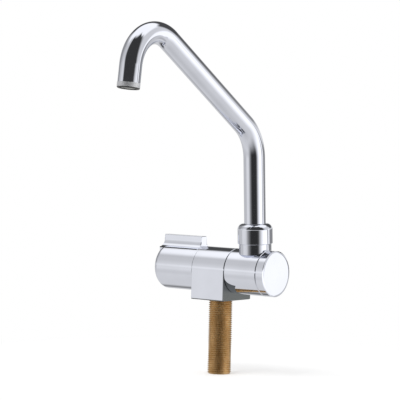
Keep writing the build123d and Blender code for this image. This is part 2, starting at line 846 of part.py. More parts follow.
# End cap: a polished cup pressed into the drum
with BuildPart() as end_cap:
    with BuildSketch(axial_plane) as cap_section:
        with BuildLine():
            Polyline(
                (cap_end, cap_face_radius),
                (cap_end, 0),
                (cap_end - cap_wall, 0),
                (cap_end - cap_wall, cap_socket_radius - cap_wall + fit_clearance),
                (drum_end - cap_spigot_length, cap_socket_radius - cap_wall + fit_clearance),
                (drum_end - cap_spigot_length, cap_socket_radius),
                (drum_end - cap_ring_width - fit_clearance, cap_socket_radius),
                (drum_end - cap_ring_width - fit_clearance, cap_socket_radius - cap_ring_depth),
                (drum_end - fit_clearance, cap_socket_radius - cap_ring_depth),
                (drum_end - fit_clearance, cap_socket_radius),
                (drum_end, cap_socket_radius),
                (drum_end, body_radius),
                (cap_rim, body_radius),
            )
            TangentArc((cap_end, cap_face_radius), (cap_rim, body_radius), tangent=(0, 1))
        make_face()
        fillet(cap_section.vertices().group_by(Axis.Y)[-1].sort_by(Axis.X)[0], turned_edge)
        fillet(cap_section.vertices().group_by(Axis.Y)[-1].sort_by(Axis.X)[-1], cap_rim_edge)
    revolve(axis=body_axis)
end_cap.part.label = "end_cap"
export_step(end_cap.part, "parts/end_cap.step")

# Ring that grips the cap in the drum
with BuildPart() as cap_ring:
    with BuildSketch(cross_plane(drum_end - cap_ring_width - fit_clearance)):
        Circle(cap_socket_radius)
        Circle(cap_socket_radius - cap_ring_depth, mode=Mode.SUBTRACT)
    extrude(amount=cap_ring_width)
cap_ring.part.label = "cap_ring"
export_step(cap_ring.part, "parts/cap_ring.step")

# Swivel nut with its round shoulder
with BuildPart() as swivel_nut:
    with BuildSketch(spout_section) as nut_section:
        with BuildLine():
            Polyline(
                (neck_thread_radius, nut_bottom),
                (nut_radius, nut_bottom),
                (nut_radius, nut_top),
                (nut_hole_radius, nut_top),
                (nut_hole_radius, nut_ceiling),
                (neck_thread_radius, nut_ceiling),
                close=True,
            )
        make_face()
        fillet(nut_section.vertices().group_by(Axis.X)[-1].sort_by(Axis.Y)[0], nut_edge)
        fillet(nut_section.vertices().group_by(Axis.X)[-1].sort_by(Axis.Y)[-1], nut_shoulder)
    revolve(axis=spout_axis)
swivel_nut.part.label = "swivel_nut"
export_step(swivel_nut.part, "parts/swivel_nut.step")

# Glide ring between the nut and the flange of the spout's foot
with BuildPart() as glide_ring:
    with BuildSketch(spout_level(flange_top + flat_clearance)):
        Circle(neck_thread_radius)
        Circle(nut_hole_radius, mode=Mode.SUBTRACT)
    extrude(amount=glide_ring_thickness)
glide_ring.part.label = "glide_ring"
export_step(glide_ring.part, "parts/glide_ring.step")

# Foot of the spout: plug with ring grooves, flange and spigot for the tube
foot_ring_seat = foot_radius - foot_ring_depth
foot_outline = [
    (foot_bore_radius, foot_bottom),
    (foot_radius, foot_bottom),
]
for ring_height in foot_ring_heights:
    foot_outline += [
        (foot_radius, foot_bottom + ring_height - foot_ring_width / 2),
        (foot_ring_seat, foot_bottom + ring_height - foot_ring_width / 2),
        (foot_ring_seat, foot_bottom + ring_height + foot_ring_width / 2),
        (foot_radius, foot_bottom + ring_height + foot_ring_width / 2),
    ]
foot_outline += [
    (foot_radius, flange_bottom),
    (foot_flange_radius, flange_bottom),
    (foot_flange_radius, flange_top),
    (tube_bore_radius, flange_top),
    (tube_bore_radius, flange_top + foot_spigot_length),
    (foot_bore_radius, flange_top + foot_spigot_length),
]
with BuildPart() as spout_foot:
    with BuildSketch(spout_section):
        with BuildLine():
            Polyline(*foot_outline, close=True)
        make_face()
    revolve(axis=spout_axis)
spout_foot.part.label = "spout_foot"
export_step(spout_foot.part, "parts/spout_foot.step")

# The two rings that seal the foot in the neck
with BuildPart() as spout_rings:
    for ring_height in foot_ring_heights:
        with BuildSketch(spout_level(foot_bottom + ring_height - foot_ring_width / 2)):
            Circle(foot_radius)
            Circle(foot_ring_seat, mode=Mode.SUBTRACT)
        extrude(amount=foot_ring_width)
spout_rings.part.label = "spout_rings"
export_step(spout_rings.part, "parts/spout_rings.step")

# Spout tube: up, forward along the arm, and down to the nozzle
with BuildPart() as spout_tube:
    with BuildLine(spout_section) as spout_route:
        stem = Line((0, flange_top), (0, bend_1_height))
        bend_1 = JernArc(stem @ 1, stem % 1, bend_1_radius, -bend_1_angle)
        arm = Line(bend_1 @ 1, bend_1 @ 1 + (bend_1 % 1) * arm_length)
        bend_2 = JernArc(arm @ 1, arm % 1, bend_2_radius, -bend_2_angle)
        tail = Line(bend_2 @ 1, bend_2 @ 1 + (bend_2 % 1) * tail_length)
    with BuildSketch(spout_level(flange_top)):
        Circle(tube_radius)
        Circle(tube_bore_radius, mode=Mode.SUBTRACT)
    sweep(path=spout_route.line)
spout_tube.part.label = "spout_tube"
export_step(spout_tube.part, "parts/spout_tube.step")

# Nozzle: end ring with a spigot inside the tube
nozzle_origin = tail @ 1
nozzle_down = tail % 1
nozzle_axis = Axis(nozzle_origin, nozzle_down)
nozzle_section = Plane(origin=nozzle_origin, x_dir=(1, 0, 0), z_dir=Vector(1, 0, 0).cross(nozzle_down))
nozzle_radius = tube_radius + nozzle_lip
with BuildPart() as nozzle_ring:
    with BuildSketch(nozzle_section) as nozzle_outline:
        with BuildLine():
            Polyline(
                (nozzle_bore_radius, -nozzle_spigot_length),
                (tube_bore_radius, -nozzle_spigot_length),
                (tube_bore_radius, 0),
                (nozzle_radius, 0),
                (nozzle_radius, nozzle_length),
                (nozzle_bore_radius, nozzle_length),
                close=True,
            )
        make_face()
        fillet(nozzle_outline.vertices().group_by(Axis.X)[-1].sort_by(Axis.Y)[-1], nozzle_edge)
    revolve(axis=nozzle_axis)
nozzle_ring.part.label = "nozzle_ring"
export_step(nozzle_ring.part, "parts/nozzle_ring.step")

# Flow straightener: a disc of small square cells in the nozzle
straightener_end = Plane(origin=nozzle_origin, x_dir=(1, 0, 0), z_dir=nozzle_down).offset(
    nozzle_length - straightener_setback
)
with BuildPart() as flow_straightener:
    with BuildSketch(straightener_end):
        Circle(nozzle_bore_radius)
        with GridLocations(
            straightener_pitch, straightener_pitch, straightener_count, straightener_count
        ) as cells:
            corner_reach = nozzle_bore_radius - straightener_cell * sqrt(2) / 2 - fit_clearance
            open_cells = [c for c in cells.local_locations if c.position.length < corner_reach]
        with Locations(*open_cells):
            Rectangle(straightener_cell, straightener_cell, mode=Mode.SUBTRACT)
    extrude(amount=-straightener_thickness)
flow_straightener.part.label = "flow_straightener"
export_step(flow_straightener.part, "parts/flow_straightener.step")
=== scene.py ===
"""Folding cold water tap: its chrome, brass and small parts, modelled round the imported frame."""

import json
import math

import bmesh
import bpy
from bpy.props import FloatProperty, FloatVectorProperty, IntProperty, PointerProperty
from mathutils import Matrix, Vector

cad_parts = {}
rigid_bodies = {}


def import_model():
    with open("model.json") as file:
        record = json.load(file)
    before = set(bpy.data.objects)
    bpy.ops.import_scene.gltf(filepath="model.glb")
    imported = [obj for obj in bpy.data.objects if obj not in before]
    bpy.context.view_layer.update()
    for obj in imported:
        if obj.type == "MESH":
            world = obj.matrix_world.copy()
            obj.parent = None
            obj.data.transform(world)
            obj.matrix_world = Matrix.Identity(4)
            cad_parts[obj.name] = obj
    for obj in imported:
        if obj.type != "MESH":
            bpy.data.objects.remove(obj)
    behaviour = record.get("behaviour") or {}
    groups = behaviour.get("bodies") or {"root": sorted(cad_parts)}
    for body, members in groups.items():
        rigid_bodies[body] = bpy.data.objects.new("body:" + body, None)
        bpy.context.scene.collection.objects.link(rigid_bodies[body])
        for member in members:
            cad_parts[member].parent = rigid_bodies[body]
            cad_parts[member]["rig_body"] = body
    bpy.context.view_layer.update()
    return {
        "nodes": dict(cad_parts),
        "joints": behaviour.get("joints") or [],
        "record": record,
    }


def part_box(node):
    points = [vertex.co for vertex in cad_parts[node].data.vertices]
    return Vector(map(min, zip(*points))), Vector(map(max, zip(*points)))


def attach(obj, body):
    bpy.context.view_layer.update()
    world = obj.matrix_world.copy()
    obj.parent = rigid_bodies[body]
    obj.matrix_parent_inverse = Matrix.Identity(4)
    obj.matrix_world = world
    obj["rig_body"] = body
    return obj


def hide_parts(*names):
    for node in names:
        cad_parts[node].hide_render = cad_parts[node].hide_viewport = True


bl_info = {
    "name": "Folding cold water tap",
    "version": (1, 0, 0),
    "blender": (4, 5, 0),
    "location": "View3D > Sidebar > Tap",
    "description": "Builds the visible pieces of a folding cold water tap round its frame",
    "category": "Add Mesh",
}

SMOOTH_ANGLE = math.radians(28)
FACE_WEIGHT = 100

# Distances in metres: within which vertices merge, within which they lie on a ring, and by which a
# cutting tool reaches past the piece. The last is the socket in the drum for the end cap.
MERGE = 1e-6
ON_RING = 10 * MERGE
CUT_SPARE = 0.001
CAP_SOCKET_RADIUS = 0.0170
BORE_SEGMENTS = 64

# Range of a noise texture that is used, and how far the polish varies about its roughness
NOISE_LOW = 0.3
NOISE_HIGH = 0.7
POLISH_SMOOTHEST = 0.6
POLISH_ROUGHEST = 1.6

# Brightness of the studio's floor and walls by elevation, in degrees
STUDIO_WALLS = (
    (-90, 0.56),
    (-60, 0.67),
    (-30, 0.71),
    (-3, 0.55),
    (3, 0.77),
    (38, 0.66),
    (49, 1.10),
    (90, 1.09),
)

# Panels and dark screens of the studio, in degrees: the middle, counted from the camera's side
# towards the right, half width, blur, low elevation, blur, high elevation, blur and brightness
STUDIO_PANELS = (
    (-105.9, 41.9, 8.8, 9.1, 2.1, 43.7, 11.8, 0.51),
    (-75.8, 19.9, 5.6, -11.7, 11.9, -1.3, 3.4, 0.84),
    (75.3, 23.3, 6.6, 1.7, 1.7, 36.7, 5.2, 0.70),
    (63.1, 37.8, 1.6, -26.7, 17.4, 3.2, 3, 1.24),
    (-84, 47, 8, -2, 1, -0.4, 1, 0.54),
    (178.9, 22.1, 14.8, -51.9, 4.4, -32.5, 9.8, 0.05),
    (127.4, 40.4, 5.1, -5.6, 2.4, 2.9, 1.7, 0.28),
    (168, 50.5, 6, 12.5, 6.5, 46.8, 4.4, 0.07),
    (102.1, 5.6, 1.5, -21.8, 3.3, 12.6, 5.9, 1.13),
    (-6.5, 42.7, 25.1, -41, 26, 0.9, 2.9, 0.03),
    (-5.2, 66.2, 10.2, 6.4, 1.5, 74.8, 7, 0.04),
    (-132.2, 18.6, 8.4, 2.6, 3.6, 35.2, 4.2, 0.31),
    (62.7, 12.1, 6, 55.9, 4, 73.3, 6.1, 1.10),
    (-80, 15.2, 8.8, 1, 9.6, 64.3, 9, 0.62),
    (-78, 14, 8, -3, 0.3, 17, 14, 0.78),
    (121.3, 6.1, 5, -49.7, 6, -20.7, 6.2, 0.48),
    (-51.8, 23, 10.3, 2.7, 1.9, 9.6, 1.9, 1.01),
)

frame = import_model()
joints = {joint["name"]: joint for joint in frame["joints"]}
block_low, block_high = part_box("body_block")
handle_low, handle_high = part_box("handle")
drum_low, drum_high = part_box("spout_drum")
cap_low, cap_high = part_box("end_cap")
shank_low, shank_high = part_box("threaded_shank")
body_centre = Vector(joints["spout_fold"]["pos_m"])
spout_centre = Vector(joints["spout_swivel"]["pos_m"])
spout_up = Vector(joints["spout_swivel"]["axis"]).normalized()
across = Vector((1, 0, 0))
upwards = Vector((0, 0, 1))


def length(name, default, description):
    """A length property in metres."""
    return FloatProperty(
        name=name, description=description, default=default, min=0.0, precision=5, unit="LENGTH"
    )


def turn_angle(name, degrees, description):
    """An angle property, given in degrees."""
    return FloatProperty(
        name=name, description=description, default=math.radians(degrees), unit="ROTATION"
    )


def colour(name, default, description):
    """A colour property."""
    return FloatVectorProperty(
        name=name,
        description=description,
        default=default,
        size=3,
        min=0.0,
        max=1.0,
        subtype="COLOR",
    )


def share(name, default, description):
    """A plain number from nothing upwards."""
    return FloatProperty(name=name, description=description, default=default, min=0.0)


def count(name, default, description):
    """A whole number."""
    return IntProperty(name=name, description=description, default=default, min=3)


class TapBodySizes(bpy.types.PropertyGroup):
    """Sizes of the block, handle, drum and end cap"""

    segments: count("Segments", 192, "Segments round the body")
    radius: length("Radius", 0.020, "Radius of the handle, drum and end cap")
    wall: length("Wall", 0.0035, "Wall of the handle")
    end_wall: length("End wall", 0.005, "Thickness of the handle's closed end")
    end_rounding: length("End rounding", 0.006, "Rounding of the handle's closed end")
    cap_crown: length("Cap crown", 0.0022, "Width of the crown round the end cap's face")
    cap_drop: length("Cap drop", 0.0006, "Drop of that crown to the rim")
    seam_rounding: length("Seam rounding", 0.0004, "Rounding of the turned edges at the seams")
    mouth_rounding: length("Mouth rounding", 0.0001, "Rounding at the handle's and block's seam")
    mouth_reach: length("Mouth reach", 0.00018, "How far the handle's mouth reaches into that seam")
    block_rounding: length("Block rounding", 0.0006, "Rounding of the block's edges at the drum")
    base_rounding: length("Base rounding", 0.0011, "Rounding of the block's lower edges")
    # The block's base up to this height gets painted shade
    base_shade_height: length("Dull rim", 0.0009, "Height of the dull rim round the block's base")
    cap_seam: length("Cap seam", 0.0007, "Rounding at the seam of the drum and the end cap")
    boss_radius: length("Boss radius", 0.010, "Radius of the boss inside the handle")
    boss_bore: length("Boss bore", 0.0065, "Radius of the bore for the splined insert")
    boss_setback: length("Boss setback", 0.014, "Depth of the boss behind the handle's mouth")
    boss_depth: length("Boss depth", 0.017, "Depth of the bore in the boss")
    key_hole_radius: length("Key hole", 0.0025, "Radius of the hole for the grub screw")
    key_hole_setback: length("Key hole setback", 0.007, "Depth of that hole from the boss's mouth")
    key_hole_angle: turn_angle("Key hole angle", -45, "Direction of that hole, up from the rear")


class TapLeverSizes(bpy.types.PropertyGroup):
    """Sizes of the lever tab on the handle"""

    thickness: length("Thickness", 0.007, "Thickness at the top")
    draft: length("Draft", 0.00025, "Extra thickness at the foot, on each side")
    foot_rounding: length("Foot rounding", 0.0068, "Radius of the hollow at the foot")
    foot_ledge: length("Foot ledge", 0.0007, "Height of the shaded step at the foot's lower edge")
    top_rounding: length("Top rounding", 0.0008, "Rounding of the top edges")
    end_rounding: length("End rounding", 0.0006, "Rounding of the upright end edges")
    inset: length("Inset", 0.002, "Distance from the handle's mouth")
    end_inset: length("End inset", 0.0007, "Distance from the handle's closed end")


class TapSpoutSizes(bpy.types.PropertyGroup):
    """Sizes of the neck, nut, tube and nozzle"""

    tube_segments: count("Tube segments", 128, "Segments round the tube")
    ring_segments: count("Ring segments", 160, "Segments round the neck and the nut")
    tube_radius: length("Tube radius", 0.0094, "Outer radius of the tube")
    tube_wall: length("Tube wall", 0.001, "Wall of the tube")
    foot_height: length("Foot height", 0.03605, "Height of the tube's foot above the body axis")
    bend_1_height: length("First bend height", 0.1003, "Height where the first bend starts")
    bend_1_radius: length("First bend radius", 0.038, "Radius of the first bend")
    bend_1_angle: turn_angle("First bend", 53.4, "Turn of the first bend")
    arm: length("Arm", 0.1247, "Straight length of the arm")
    bend_2_radius: length("Second bend radius", 0.031, "Radius of the second bend")
    bend_2_angle: turn_angle("Second bend", 116, "Turn of the second bend")
    tail: length("Tail", 0.0147, "Straight length above the nozzle")
    neck_radius: length("Neck radius", 0.0142, "Radius of the neck")
    neck_seat: length("Neck seat", 0.0164, "Height of the collar's lower face above the body axis")
    neck_height: length("Neck height", 0.0254, "Height of the neck's shoulder above the body axis")
    neck_bottom: length("Neck bottom", 0.013, "Height of the spigot's lower end")
    neck_spigot: length("Neck spigot", 0.008, "Radius of the neck's spigot in the drum")
    neck_bore: length("Neck bore", 0.005, "Radius of the waterway")
    neck_socket: length("Neck socket", 0.00805, "Radius of the socket for the spout's foot")
    neck_socket_floor: length("Socket floor", 0.021, "Height of the socket's floor")
    thread_radius: length("Nut thread", 0.012, "Radius of the thread under the nut")
    thread_length: length("Nut thread length", 0.0076, "Length of the thread under the nut")
    nut_radius: length("Nut radius", 0.0153, "Radius of the swivel nut")
    nut_seam: length("Nut seam", 0.00025, "Seam between the neck and the nut")
    nut_length: length("Nut length", 0.01755, "Length of the nut")
    nut_ceiling: length("Nut ceiling", 0.0376, "Height of the nut's inner shoulder")
    nut_hole: length("Nut hole", 0.0097, "Radius of the hole for the tube")
    nut_shoulder: length("Nut shoulder", 0.0052, "Rounding of the nut's top")
    nut_edge: length("Nut edge", 0.0004, "Rounding of the nut's lower edge")
    nozzle_lip: length("Nozzle lip", 0.0001, "How far the nozzle stands out from the tube")
    nozzle_length: length("Nozzle length", 0.0048, "Length of the nozzle below the tube")
    nozzle_spigot: length("Nozzle spigot", 0.005, "Length of the nozzle inside the tube")
    nozzle_bore: length("Nozzle bore", 0.0072, "Bore of the nozzle")
    nozzle_edge: length("Nozzle edge", 0.0012, "Rounding of the nozzle's lower edge")
    # The nozzle's lower rim up to this height gets painted shade for the dark opening
    nozzle_shade_rim: length("Nozzle rim", 0.001, "Height of the nozzle's dark lower rim")


class TapShankSizes(bpy.types.PropertyGroup):
    """Sizes of the threaded shank"""

    segments: count("Segments", 96, "Segments round the thread")
    radius: length("Radius", 0.0104775, "Outer radius of the thread")
    pitch: length("Pitch", 0.001814, "Pitch of the thread")
    depth: length("Depth", 0.00116, "Depth of the thread")
    flank: turn_angle("Flank", 27.5, "Slope of the thread's flanks")
    root_radius: length("Root radius", 0.00833, "Radius of the root inside the block")
    bore: length("Bore", 0.0065, "Radius of the waterway")
    chamfer: length("Chamfer", 0.0012, "Chamfer of the lower end")
    bore_chamfer: length("Bore chamfer", 0.0004, "Chamfer of the bore's mouth")


class TapFinishes(bpy.types.PropertyGroup):
    """Colours and polish of the finishes"""

    chrome: colour("Chrome", (0.85, 0.87, 0.945), "Colour of the chrome plate")
    chrome_roughness: share("Chrome roughness", 0.035, "Roughness of the chrome plate")
    satin: colour("Satin plate", (0.88, 0.885, 0.91), "Colour of the nozzle's satin plate")
    # Painted shade on the nozzle's lower rim, standing in for the dark opening
    nozzle_shade_rim: colour("Nozzle rim", (0.10, 0.10, 0.10), "Colour of the nozzle's lower rim")
    # Painted shade: the dark line in the crease at each side of the tab's foot
    crease: colour("Crease", (0.06, 0.06, 0.06), "Colour of the line at the tab's foot")
    # Painted dark reflection and shade on the block's flat ends, and painted shade round its base
    painted_block_shade: colour("Dull plate", (0.17, 0.18, 0.18), "Colour of the block's flat ends")
    brass: colour("Brass", (0.84, 0.62, 0.35), "Colour of the bare brass")
    brass_shade: colour("Brass shade", (0.62, 0.40, 0.17), "Colour of the tarnish in the brass")
    rubber: colour("Rubber", (0.018, 0.018, 0.020), "Colour of the seals")
    ceramic: colour("Ceramic", (0.86, 0.85, 0.81), "Colour of the valve discs")
    acetal: colour("Acetal", (0.70, 0.70, 0.68), "Colour of the moulded parts")
    steel: colour("Steel", (0.56, 0.57, 0.58), "Colour of the clips, pins and washers")


class TapStage(bpy.types.PropertyGroup):
    """Floor, light and camera"""

    floor_radius: length("Floor radius", 0.30, "Radius of the floor")
    floor: colour("Floor", (0.80, 0.80, 0.80), "Colour of the floor")
    floor_lift: share("Floor lift", 0.30, "Light added to the floor for the camera")
    room_level: share("Room level", 0.80, "Level of the room's light on dull surfaces")
    lamp_power: share("Lamp power", 14.0, "Power of the soft lamp in watts")
    azimuth: turn_angle("Azimuth", 38.2736, "Camera's direction, from the front towards the right")
    elevation: turn_angle("Elevation", 2.4512, "Camera's angle above the horizon")
    roll: turn_angle("Roll", 1.2822, "Camera's roll")
    distance: length("Distance", 1.90667, "Camera's distance")
    shift_right: FloatProperty(
        name="Shift right", description="Aim, sideways", default=0.0183661, unit="LENGTH"
    )
    shift_up: FloatProperty(
        name="Shift up", description="Aim, upwards", default=-0.0877184, unit="LENGTH"
    )
    lens: FloatProperty(
        name="Lens", description="Focal length", default=193.731, subtype="DISTANCE_CAMERA"
    )


def clear_selection():
    """Leave edit mode and select nothing."""
    if bpy.context.mode != "OBJECT":
        bpy.ops.object.mode_set(mode="OBJECT")
    bpy.ops.object.select_all(action="DESELECT")


def pick(piece):
    """Select one piece and make it active."""
    clear_selection()
    piece.select_set(True)
    bpy.context.view_layer.objects.active = piece


def lathe_place(centre, axis):
    """Where a turned piece stands: the lathe's Z runs along an axis from a centre."""
    return Matrix.Translation(centre) @ axis.to_track_quat("Z", "Y").to_matrix().to_4x4()


# The three axes that the pieces are turned on
along_body = lathe_place(body_centre, across)
along_spout = lathe_place(spout_centre, spout_up)
along_shank = lathe_place(Vector((0, 0, 0)), upwards)


def ring_centre(place, height):
    """Point on a lathe's axis."""
    return place @ Vector((0, 0, height))


def add_ring(name, place, height, radius, segments):
    """A bare circle round a lathe's axis, selected in edit mode and ready to be extruded."""
    clear_selection()
    bpy.ops.mesh.primitive_circle_add(
        vertices=segments,
        radius=radius,
        location=ring_centre(place, height),
        rotation=place.to_euler(),
    )
    piece = bpy.context.object
    piece.name = name
    piece.data.name = name
    bpy.ops.object.transform_apply(location=True, rotation=True, scale=True)
    bpy.ops.object.mode_set(mode="EDIT")
    bpy.ops.mesh.select_mode(type="EDGE")
    bpy.ops.mesh.select_all(action="SELECT")
    return piece


def extrude_ring(place, start, end):
    """Extrude the selected ring from one (height, radius) to another."""
    rise = ring_centre(place, end[0]) - ring_centre(place, start[0])
    bpy.ops.mesh.extrude_edges_move(TRANSFORM_OT_translate={"value": rise})
    growth = end[1] / start[1]
    bpy.ops.transform.resize(value=(growth,) * 3, center_override=ring_centre(place, end[0]))


def select_where(piece, kind, test):
    """In edit mode, select only the vertices, edges or faces that pass a test."""
    bpy.ops.mesh.select_mode(type=kind)
    bpy.ops.mesh.select_all(action="DESELECT")
    mesh = bmesh.from_edit_mesh(piece.data)
    elements = {"VERT": mesh.verts, "EDGE": mesh.edges, "FACE": mesh.faces}[kind]
    for element in elements:
        if test(element):
            element.select_set(True)
    mesh.select_flush_mode()
    bmesh.update_edit_mesh(piece.data)


def select_ring(piece, place, height, radius):
    """In edit mode, select the edges of one ring of a turned piece."""
    to_lathe = place.inverted()

    def on_ring(vertex):
        point = to_lathe @ vertex.co
        near_height = abs(point.z - height) < ON_RING
        return near_height and abs(math.hypot(point.x, point.y) - radius) < ON_RING

    select_where(piece, "EDGE", lambda edge: all(on_ring(vertex) for vertex in edge.verts))


def round_edges(offset, steps):
    """Round the selected edges in edit mode."""
    bpy.ops.mesh.bevel(
        offset=offset, segments=steps, profile=0.5, affect="EDGES", clamp_overlap=False
    )


def close_mesh():
    """Merge the seams of the mesh in edit mode, face it outwards and leave edit mode."""
    bpy.ops.mesh.select_mode(type="VERT")
    bpy.ops.mesh.select_all(action="SELECT")
    bpy.ops.mesh.remove_doubles(threshold=MERGE)
    bpy.ops.mesh.normals_make_consistent(inside=False)
    bpy.ops.object.mode_set(mode="OBJECT")


def turn_piece(name, place, outline, segments, roundings=(), solid=False):
    """A turned piece, left in object mode.

    Its outline is a list of (height, radius) and is closed, or for a solid piece is capped at both
    ends. A rounding is (height, radius, fillet, steps) at a corner of the outline."""
    piece = add_ring(name, place, *outline[0], segments)
    path = list(outline) if solid else [*outline, outline[0]]
    for start, end in zip(path, path[1:]):
        extrude_ring(place, start, end)
    if solid:
        bpy.ops.mesh.edge_face_add()
        select_ring(piece, place, *outline[0])
        bpy.ops.mesh.edge_face_add()
    close_mesh()
    bpy.ops.object.mode_set(mode="EDIT")
    for height, radius, fillet, steps in roundings:
        select_ring(piece, place, height, radius)
        round_edges(fillet, steps)
    close_mesh()
    return piece


def combine(piece, tool, operation):
    """Cut, join or intersect a piece with a tool, which is used up."""
    pick(piece)
    modifier = piece.modifiers.new(operation.lower(), "BOOLEAN")
    modifier.operation = operation
    modifier.object = tool
    modifier.solver = "EXACT"
    bpy.ops.object.modifier_apply(modifier=modifier.name)
    spent = tool.data
    bpy.data.objects.remove(tool)
    bpy.data.meshes.remove(spent)


def bore(piece, name, place, outline, segments=BORE_SEGMENTS):
    """Cut a solid turned shape out of a piece."""
    combine(piece, turn_piece(name, place, outline, segments, solid=True), "DIFFERENCE")


def smooth(piece):
    """Round shading over soft edges, with the large faces setting the normals."""
    pick(piece)
    bpy.ops.object.shade_smooth_by_angle(angle=SMOOTH_ANGLE)
    modifier = piece.modifiers.new("even_normals", "WEIGHTED_NORMAL")
    modifier.keep_sharp = True
    modifier.weight = FACE_WEIGHT
    bpy.ops.object.modifier_apply(modifier=modifier.name)


def stand_for(piece, node, material):
    """Give a finished piece its finish and let it stand for its CAD node."""
    smooth(piece)
    piece.data.materials.clear()
    piece.data.materials.append(material)
    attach(piece, frame["nodes"][node]["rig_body"])
    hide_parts(node)


def new_material(name, base, metallic, roughness):
    """A material with a Principled shader. Returns its tree and that shader too."""
    material = bpy.data.materials.new(name)
    material.use_nodes = True
    tree = material.node_tree
    shader = tree.nodes["Principled BSDF"]
    shader.inputs["Base Color"].default_value = (*base, 1)
    shader.inputs["Metallic"].default_value = metallic
    shader.inputs["Roughness"].default_value = roughness
    return material, tree, shader


def object_place(tree):
    """The object's own coordinates."""
    return tree.nodes.new("ShaderNodeTexCoord").outputs["Object"]


def noise(tree, scale, detail, stretch=(1, 1, 1)):
    """Noise on the object's own coordinates, at a number of grains per metre."""
    mapping = tree.nodes.new("ShaderNodeMapping")
    mapping.inputs["Scale"].default_value = stretch
    texture = tree.nodes.new("ShaderNodeTexNoise")
    texture.inputs["Scale"].default_value = scale
    texture.inputs["Detail"].default_value = detail
    tree.links.new(object_place(tree), mapping.inputs["Vector"])
    tree.links.new(mapping.outputs["Vector"], texture.inputs["Vector"])
    return texture.outputs["Fac"]


def spread(tree, source, low, high, low_value=0, high_value=1):
    """Map a value from one range to another."""
    node = tree.nodes.new("ShaderNodeMapRange")
    node.inputs["From Min"].default_value = low
    node.inputs["From Max"].default_value = high
    node.inputs["To Min"].default_value = low_value
    node.inputs["To Max"].default_value = high_value
    tree.links.new(source, node.inputs["Value"])
    return node.outputs["Result"]


def blend_colours(tree, factor, first, second):
    """Mix two colours by a factor."""
    node = tree.nodes.new("ShaderNodeMix")
    node.data_type = "RGBA"
    node.inputs["A"].default_value = (*first, 1)
    node.inputs["B"].default_value = (*second, 1)
    tree.links.new(factor, node.inputs["Factor"])
    return node.outputs["Result"]


def calculate(tree, operation, *values):
    """A sum of numbers and sockets."""
    node = tree.nodes.new("ShaderNodeMath")
    node.operation = operation
    for socket, value in zip(node.inputs, values):
        if isinstance(value, (int, float)):
            socket.default_value = value
        else:
            tree.links.new(value, socket)
    return node.outputs["Value"]


def soft_step(tree, value, edge, blur):
    """A step from nothing to one at an edge, with some blur to both sides."""
    node = tree.nodes.new("ShaderNodeMapRange")
    node.interpolation_type = "SMOOTHSTEP"
    node.inputs["From Min"].default_value = edge - blur
    node.inputs["From Max"].default_value = edge + blur
    tree.links.new(value, node.inputs["Value"])
    return node.outputs["Result"]


def mix_values(tree, factor, first, second):
    """Mix two values, each a number or a socket."""
    change = calculate(tree, "SUBTRACT", second, first)
    return calculate(tree, "MULTIPLY_ADD", factor, change, first)


def darker(colour_value, brightness):
    """A colour at a share of its brightness."""
    return tuple(value * brightness for value in colour_value)


def vary_colour(tree, shader, factor, first, second):
    """Let a factor lead the finish from one colour to another."""
    tint = blend_colours(tree, factor, first, second)
    tree.links.new(tint, shader.inputs["Base Color"])
    return tint


def vary_roughness(tree, shader, texture, smoothest, roughest):
    """Let a noise texture lead the finish from its smoothest to its roughest."""
    haze = spread(tree, texture, NOISE_LOW, NOISE_HIGH, smoothest, roughest)
    tree.links.new(haze, shader.inputs["Roughness"])
    return haze


def add_bump(tree, shader, height, strength, distance):
    """Raise the surface by a height texture."""
    node = tree.nodes.new("ShaderNodeBump")
    node.inputs["Strength"].default_value = strength
    node.inputs["Distance"].default_value = distance
    tree.links.new(height, node.inputs["Height"])
    tree.links.new(node.outputs["Normal"], shader.inputs["Normal"])


def plate_shader(name):
    """Polished chrome plate: faint haze in the polish and a slight change of tint.

    Returns the material, its tree and shader, and the sockets of its colour and roughness."""
    finishes = bpy.context.scene.tap_finishes
    base = tuple(finishes.chrome)
    polish = finishes.chrome_roughness
    material, tree, shader = new_material(name, base, metallic=1.0, roughness=polish)
    texture = noise(tree, scale=160, detail=4)
    haze = vary_roughness(
        tree, shader, texture, polish * POLISH_SMOOTHEST, polish * POLISH_ROUGHEST
    )
    cloud = spread(tree, noise(tree, scale=45, detail=2), low=0.35, high=0.65)
    tint = vary_colour(tree, shader, cloud, base, darker(base, 0.965))
    return material, tree, shader, tint, haze


def paint_shade_where(tree, shader, mask, tint, haze, shade_colour, dull_roughness):
    """Paint shade onto the plate: another colour and roughness where a mask is one."""
    node = tree.nodes.new("ShaderNodeMix")
    node.data_type = "RGBA"
    node.inputs["B"].default_value = (*shade_colour, 1)
    tree.links.new(mask, node.inputs["Factor"])
    tree.links.new(tint, node.inputs["A"])
    tree.links.new(node.outputs["Result"], shader.inputs["Base Color"])
    tree.links.new(mix_values(tree, mask, haze, dull_roughness), shader.inputs["Roughness"])


def object_parts(tree):
    """The object's own X, Y and Z."""
    parts = tree.nodes.new("ShaderNodeSeparateXYZ")
    tree.links.new(object_place(tree), parts.inputs["Vector"])
    return parts.outputs["X"], parts.outputs["Y"], parts.outputs["Z"]


def chrome_finish():
    """Polished chrome plate, shared by the turned and bent pieces."""
    if "chrome_plate" in bpy.data.materials:
        return bpy.data.materials["chrome_plate"]
    return plate_shader("chrome_plate")[0]


